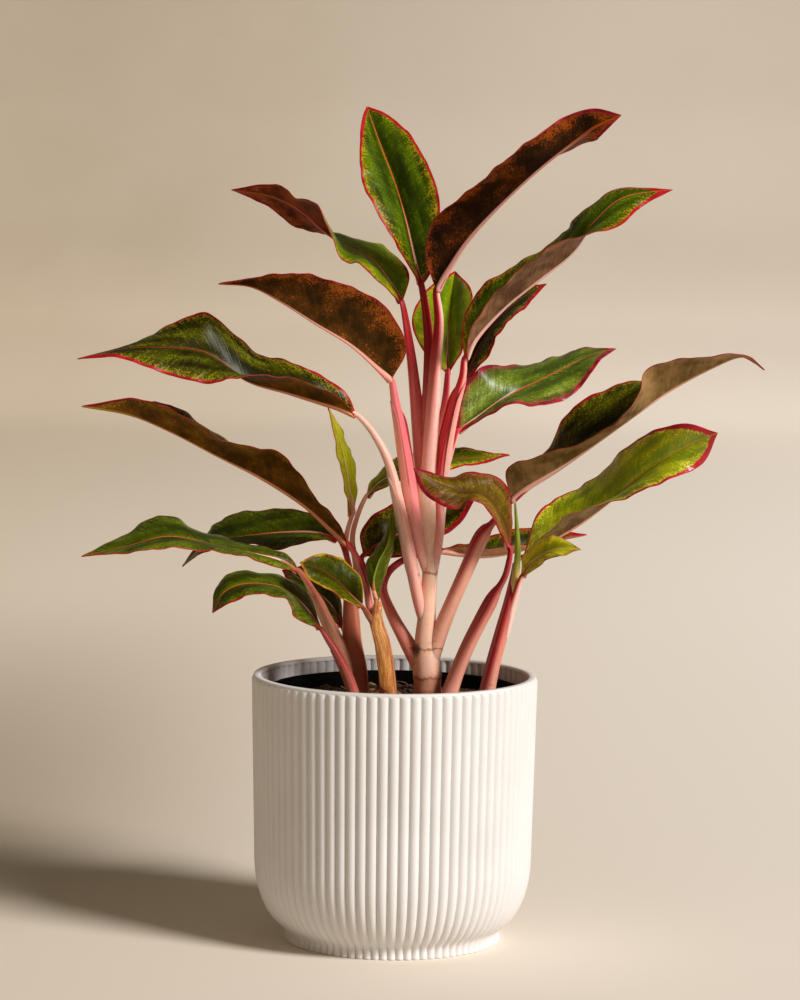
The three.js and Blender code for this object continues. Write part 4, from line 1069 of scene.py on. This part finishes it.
def blade(name, shape, draw):
    """One leaf: a grid laid over its rails, its margins waved, then thickened and smoothed."""
    along = np.linspace(0, 1, BLADE_ROWS + 1)
    left, rib, right = (smooth_curve(rail, along) for rail in leaf_rails(*shape))
    tangent = np.gradient(rib, axis=0)
    columns = np.arange(-HALF_BLADE_COLUMNS, HALF_BLADE_COLUMNS + 1)
    across = np.sign(columns) * np.abs(columns / HALF_BLADE_COLUMNS) ** 1.25
    surface = np.zeros((BLADE_ROWS + 1, len(columns), 3))
    breadth = np.zeros(surface.shape[:2])
    for column, share in enumerate(across):
        reach = (left if share < 0 else right) - rib
        rise = np.cross(tangent, reach) * (1 if share < 0 else -1)
        rise *= 4 * CAMBER * abs(share) * (1 - abs(share)) * length_of(reach) / (length_of(rise) + 1e-9)
        surface[:, column] = rib + abs(share) * reach + rise
        breadth[:, column] = length_of(reach)[:, 0]
    upward = np.cross(np.gradient(surface, axis=1), np.gradient(surface, axis=0))
    upward /= length_of(upward) + 1e-9
    travelled = travelled_along(rib)
    outward = np.abs(across)[None, :] * breadth
    phases = np.array([draw.uniform(0, 6.28) for _ in range(4)])
    side = (across > 0).astype(int)
    run = travelled[:, None] - VEIN_LEAN * outward
    calm = np.sin(np.pi * along)[:, None] ** 0.7
    waves = 2 * np.pi * travelled[:, None] / WAVE_LENGTH
    wave = np.sin(waves + phases[side])
    wave += SHORT_WAVE_HEIGHT * np.sin(waves / SHORT_WAVE + phases[2 + side])
    lift = WAVE_HEIGHT * calm * (np.abs(across)[None, :] ** 2) * wave
    lift += VEIN_HEIGHT * calm * np.cos(2 * np.pi * run / VEIN_SPACING) * np.minimum(outward / 4, 1)
    rib_half = RIB_HALF_WIDTH - RIB_TAPER * along[:, None] ** 0.7
    lift -= RIB_DEPTH * rib_half * np.exp(-(outward / (0.8 * rib_half)) ** 2) * (1 - along[:, None])
    surface += upward * lift[:, :, None]

    columns_across = 2 * HALF_BLADE_COLUMNS
    bpy.ops.mesh.primitive_grid_add(x_subdivisions=columns_across, y_subdivisions=BLADE_ROWS, size=2)
    leaf = bpy.context.object
    leaf.name = name + "_blade"
    thick = leaf.vertex_groups.new(name="thickness")
    places, ribs, tips = [], [], []
    for vertex in leaf.data.vertices:
        column = round((vertex.co.x + 1) * HALF_BLADE_COLUMNS)
        row = round((vertex.co.y + 1) / 2 * BLADE_ROWS)
        distance = outward[row, column]
        places += [math.copysign(distance, vertex.co.x), breadth[row, column] - distance, travelled[row]]
        ribs.append(distance / rib_half[row, 0])
        tips.append(travelled[-1] - travelled[row])
        weight = math.exp(-(distance / rib_half[row, 0]) ** 2) * (1 - 0.75 * along[row])
        thick.add([vertex.index], weight, "REPLACE")
        vertex.co = surface[row, column] * MM
    leaf.data.attributes.new("blade", "FLOAT_VECTOR", "POINT").data.foreach_set("vector", places)
    leaf.data.attributes.new("rib", "FLOAT", "POINT").data.foreach_set("value", ribs)
    leaf.data.attributes.new("tip", "FLOAT", "POINT").data.foreach_set("value", tips)
    solidify = leaf.modifiers.new("thickness", "SOLIDIFY")
    solidify.thickness = BLADE_THICKNESS
    solidify.offset = -1
    solidify.vertex_group = "thickness"
    solidify.thickness_vertex_group = THINNEST
    solidify.material_offset = 1
    solidify.material_offset_rim = 2
    smooth = leaf.modifiers.new("smooth", "SUBSURF")
    smooth.levels = smooth.render_levels = 1
    bpy.ops.object.shade_smooth()
    return leaf


def blade_places(place):
    """Millimetres out from the midrib, in from the margin, along the leaf and back from its tip, the share
    of the midrib's half width, and the run of the side veins."""
    laid = place.attribute("blade", "Vector")
    across, inward, along = (laid.axis(name) for name in "XYZ")
    tip, rib = (place.attribute(name, "Fac") for name in ("tip", "rib"))
    return across, inward, along, tip, rib, along - abs(across) * VEIN_LEAN


def off_veins(run):
    """0 on each side vein and 1 midway between two."""
    return abs((run * (math.pi / VEIN_SPACING)).sine())


def blade_bump(place, across, run):
    """Side veins pressed into the blade, and its fine grain."""
    height = off_veins(run).rise(0.0, 0.35) * abs(across).rise(1.0, 5.0) * 0.6 + place.grain(1500) * 0.25
    return height.bump(0.35, 0.0005)


def upper_face(name, shade, body, light, fleck, margin, margin_width, flecked=0.5, sheen=0.12,
               rib_foot="#f0b7a2", rib_top="#cf5a34", margin_light="#b81c2a"):
    """A leaf's green upper face: feathered along its side veins, flecked near its red margin."""
    material, place, shader = new_finish("leaf_above_" + name, 0.33, Specular_IOR_Level=sheen)
    across, inward, along, tip, rib, run = blade_places(place)
    bands = (across * 0.13).beside(along * 0.02).grain(1.0)
    feathers = (run * 0.32).beside(across * 0.07).grain(1.0, 4.0, 0.65)
    fine = place.grain(900, 3.0, 0.85)
    clouds = place.grain(90, 3.0, 0.6)
    green = (bands * 0.6 + clouds * 0.3 + feathers * 0.1).rise(0.38, 0.6).mix(shade, body)
    green = (feathers * 0.2 + fine * 0.5 + bands * 0.3).rise(0.51, 0.61).mix(green, light)
    near_margin = inward.rise(11.0, 1.0)
    flecks = (fine * 0.7 + feathers * 0.3 + near_margin * 0.1).rise(0.58, 0.61)
    green = (flecks * near_margin * flecked).mix(green, fleck)
    lines = off_veins(run).rise(0.12, 0.0) * abs(across).rise(1.5, 6.0)
    green = (lines * 0.12).mix(green, shade)
    ragged = inward + (place.grain(190, 4.0, 0.75) - 0.5) * 5.0
    width = (tip.rise(45.0, 5.0) * 1.2 + 1.0) * margin_width
    band = (ragged - width).rise(0.6, -0.4).most(inward.rise(0.9, 0.5))
    red = place.grain(150).rise(0.4, 0.7).mix(margin, margin_light)
    coral = along.rise(5.0, 60.0).mix(rib_foot, rib_top)
    feed(shader, Base_Color=rib.rise(0.75, 0.4).mix(band.mix(green, red), coral),
         Roughness=fine * 0.12 + 0.27, Normal=blade_bump(place, across, run))
    return material


def under_face(name, shade, body, rust, vein, rib_colour, rusted=0.7):
    """A leaf's duller underside: brown to tan, with rusty mottles and paler veins."""
    material, place, shader = new_finish("leaf_below_" + name, 0.5, Specular_IOR_Level=0.07)
    across, inward, along, tip, rib, run = blade_places(place)
    clouds = place.grain(70, 3.0, 0.6)
    feathers = (run * 0.30).beside(across * 0.06).grain(1.0, 4.0, 0.65)
    fine = place.grain(900, 3.0, 0.85)
    brown = (clouds * 0.7 + feathers * 0.3).rise(0.38, 0.62).mix(shade, body)
    near_margin = inward.rise(13.0, 0.5)
    mottles = (fine * 0.6 + clouds * 0.4 + near_margin * 0.1).rise(0.565, 0.625)
    brown = (mottles * rusted).mix(brown, rust)
    lines = off_veins(run).rise(0.10, 0.0) * abs(across).rise(1.0, 4.0)
    brown = (lines * 0.14).mix(brown, vein)
    ragged = inward + (place.grain(240, 4.0, 0.75) - 0.5) * 3.0
    width = (tip.rise(60.0, 5.0) * 2.4 + 1.0) * UNDER_MARGIN
    red = place.grain(150).rise(0.4, 0.7).mix("#84141c", "#b83440")
    edged = (ragged - width).rise(0.5, -0.4).mix(brown, red)
    pale = tip.rise(80.0, 15.0).mix(rib_colour, rust)
    feed(shader, Base_Color=rib.rise(1.4, 0.9).mix(edged, pale),
         Roughness=fine * 0.15 + 0.42, Normal=blade_bump(place, across, run))
    return material


def margin_finish():
    """The blade's thin red edge."""
    material, place, shader = new_finish("leaf_margin", 0.4, Specular_IOR_Level=0.3)
    feed(shader, Base_Color=place.grain(160).rise(0.35, 0.65).mix("#7c0c14", "#b82430"))
    return material


# finish above: the colours of the shade, body, light, flecks and margin, the margin's width and how
# flecked; then, where they aren't the usual, the sheen, the midrib's foot and top, and the margin's light.
UPPER_FACES = {
    "bright": ("#2a3603", "#485c04", "#728608", "#d0a818", "#a81018", 1.6, 0.65),
    # fresh is a lighter copy of the bright green, with painted sunlight on the leaves that wear it.
    "fresh": ("#566c04", "#7c9008", "#a0a814", "#c8b828", "#a01420", 1.2, 0.35),
    "plain": ("#283004", "#465006", "#6c740f", "#8a9418", "#8c1418", 0.6, 0.3),
    "deep": ("#1e1a02", "#3e3c04", "#6c7010", "#a8941c", "#9c101c", 1.9, 0.75, 0.1, "#b06048", "#7c2818"),
    "limy": ("#4c6004", "#7c8a06", "#aeac12", "#e4cc2c", "#b0181c", 1.2, 0.9),
    "sunlit": ("#6c7e04", "#949c08", "#ccc828", "#f0dc40", "#b4182a", 1.9, 0.95, 0.5, "#f0b7a2", "#b48a28"),
    "mottled": ("#384a0a", "#60720c", "#94a444", "#a83c40", "#741224", 2.5, 0.85, 0.3),
    "dusky": ("#4a3206", "#6c5410", "#8c7c34", "#a04a34", "#7c1020", 1.3, 0.8, 0.06, "#7c4c30", "#5c3018",
        "#a01c2c"),
    "young": ("#8c8a04", "#aeb008", "#c8c830", "#d0c848", "#c07c28", 0.7, 0.3, 0.12, "#d8b878", "#c8b060",
        "#a8642c"),
    "golden": ("#868a04", "#bcb808", "#e0d434", "#e4d050", "#b8883c", 0.6, 0.3, 0.2, "#d8b878", "#c8b060",
        "#8c5c34"),
    "olive": ("#242402", "#3a3e03", "#525806", "#8c8414", "#a8841c", 0.8, 0.2, 0.04, "#6c3020", "#4c2814",
        "#8c4418"),
    "tucked": ("#343a04", "#525a08", "#747c10", "#8a9418", "#8c3418", 0.4, 0.2, 0.08, "#8c9440", "#646c10",
        "#b07c34"),
}
# finish below: the colours of the shade, body, rust, side veins and midrib; then how rusted, where it
# isn't the usual.
UNDER_FACES = {
    "maroon": ("#200e01", "#3e2004", "#9c4610", "#5a3a20", "#f3b0a4", 0.9),
    "chestnut": ("#501e0c", "#803818", "#a85824", "#8c6c54", "#c06a5a"),
    "rust": ("#2c1a01", "#4c2c04", "#ac581c", "#6e4a1c", "#f0a894", 0.9),
    "olive": ("#402806", "#684008", "#8c6818", "#8c7030", "#dd8c66"),
    # grey, tan and blush are paler undersides: partly the blade's own colour, partly painted light passing
    # through it.
    "grey": ("#664430", "#94704e", "#bc7440", "#bca086", "#ffcabf", 0.55),
    "tan": ("#6a5028", "#9a7a4c", "#ac7c4c", "#b09450", "#f4b8a2", 0.5),
    "blush": ("#9c7040", "#d0966c", "#d89c7c", "#e0b490", "#f4b8a2", 0.5),
}
ABOVE = {name: upper_face(name, *look) for name, look in UPPER_FACES.items()}
BELOW = {name: under_face(name, *look) for name, look in UNDER_FACES.items()}
EDGE = margin_finish()

fall = random.Random(23)
for name, (above, below, *shape) in LEAVES.items():
    leaf = blade(name, shape, fall)
    for finish in (ABOVE[above], BELOW[below], EDGE):
        leaf.data.materials.append(finish)
    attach(leaf, "root")
    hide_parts(name)
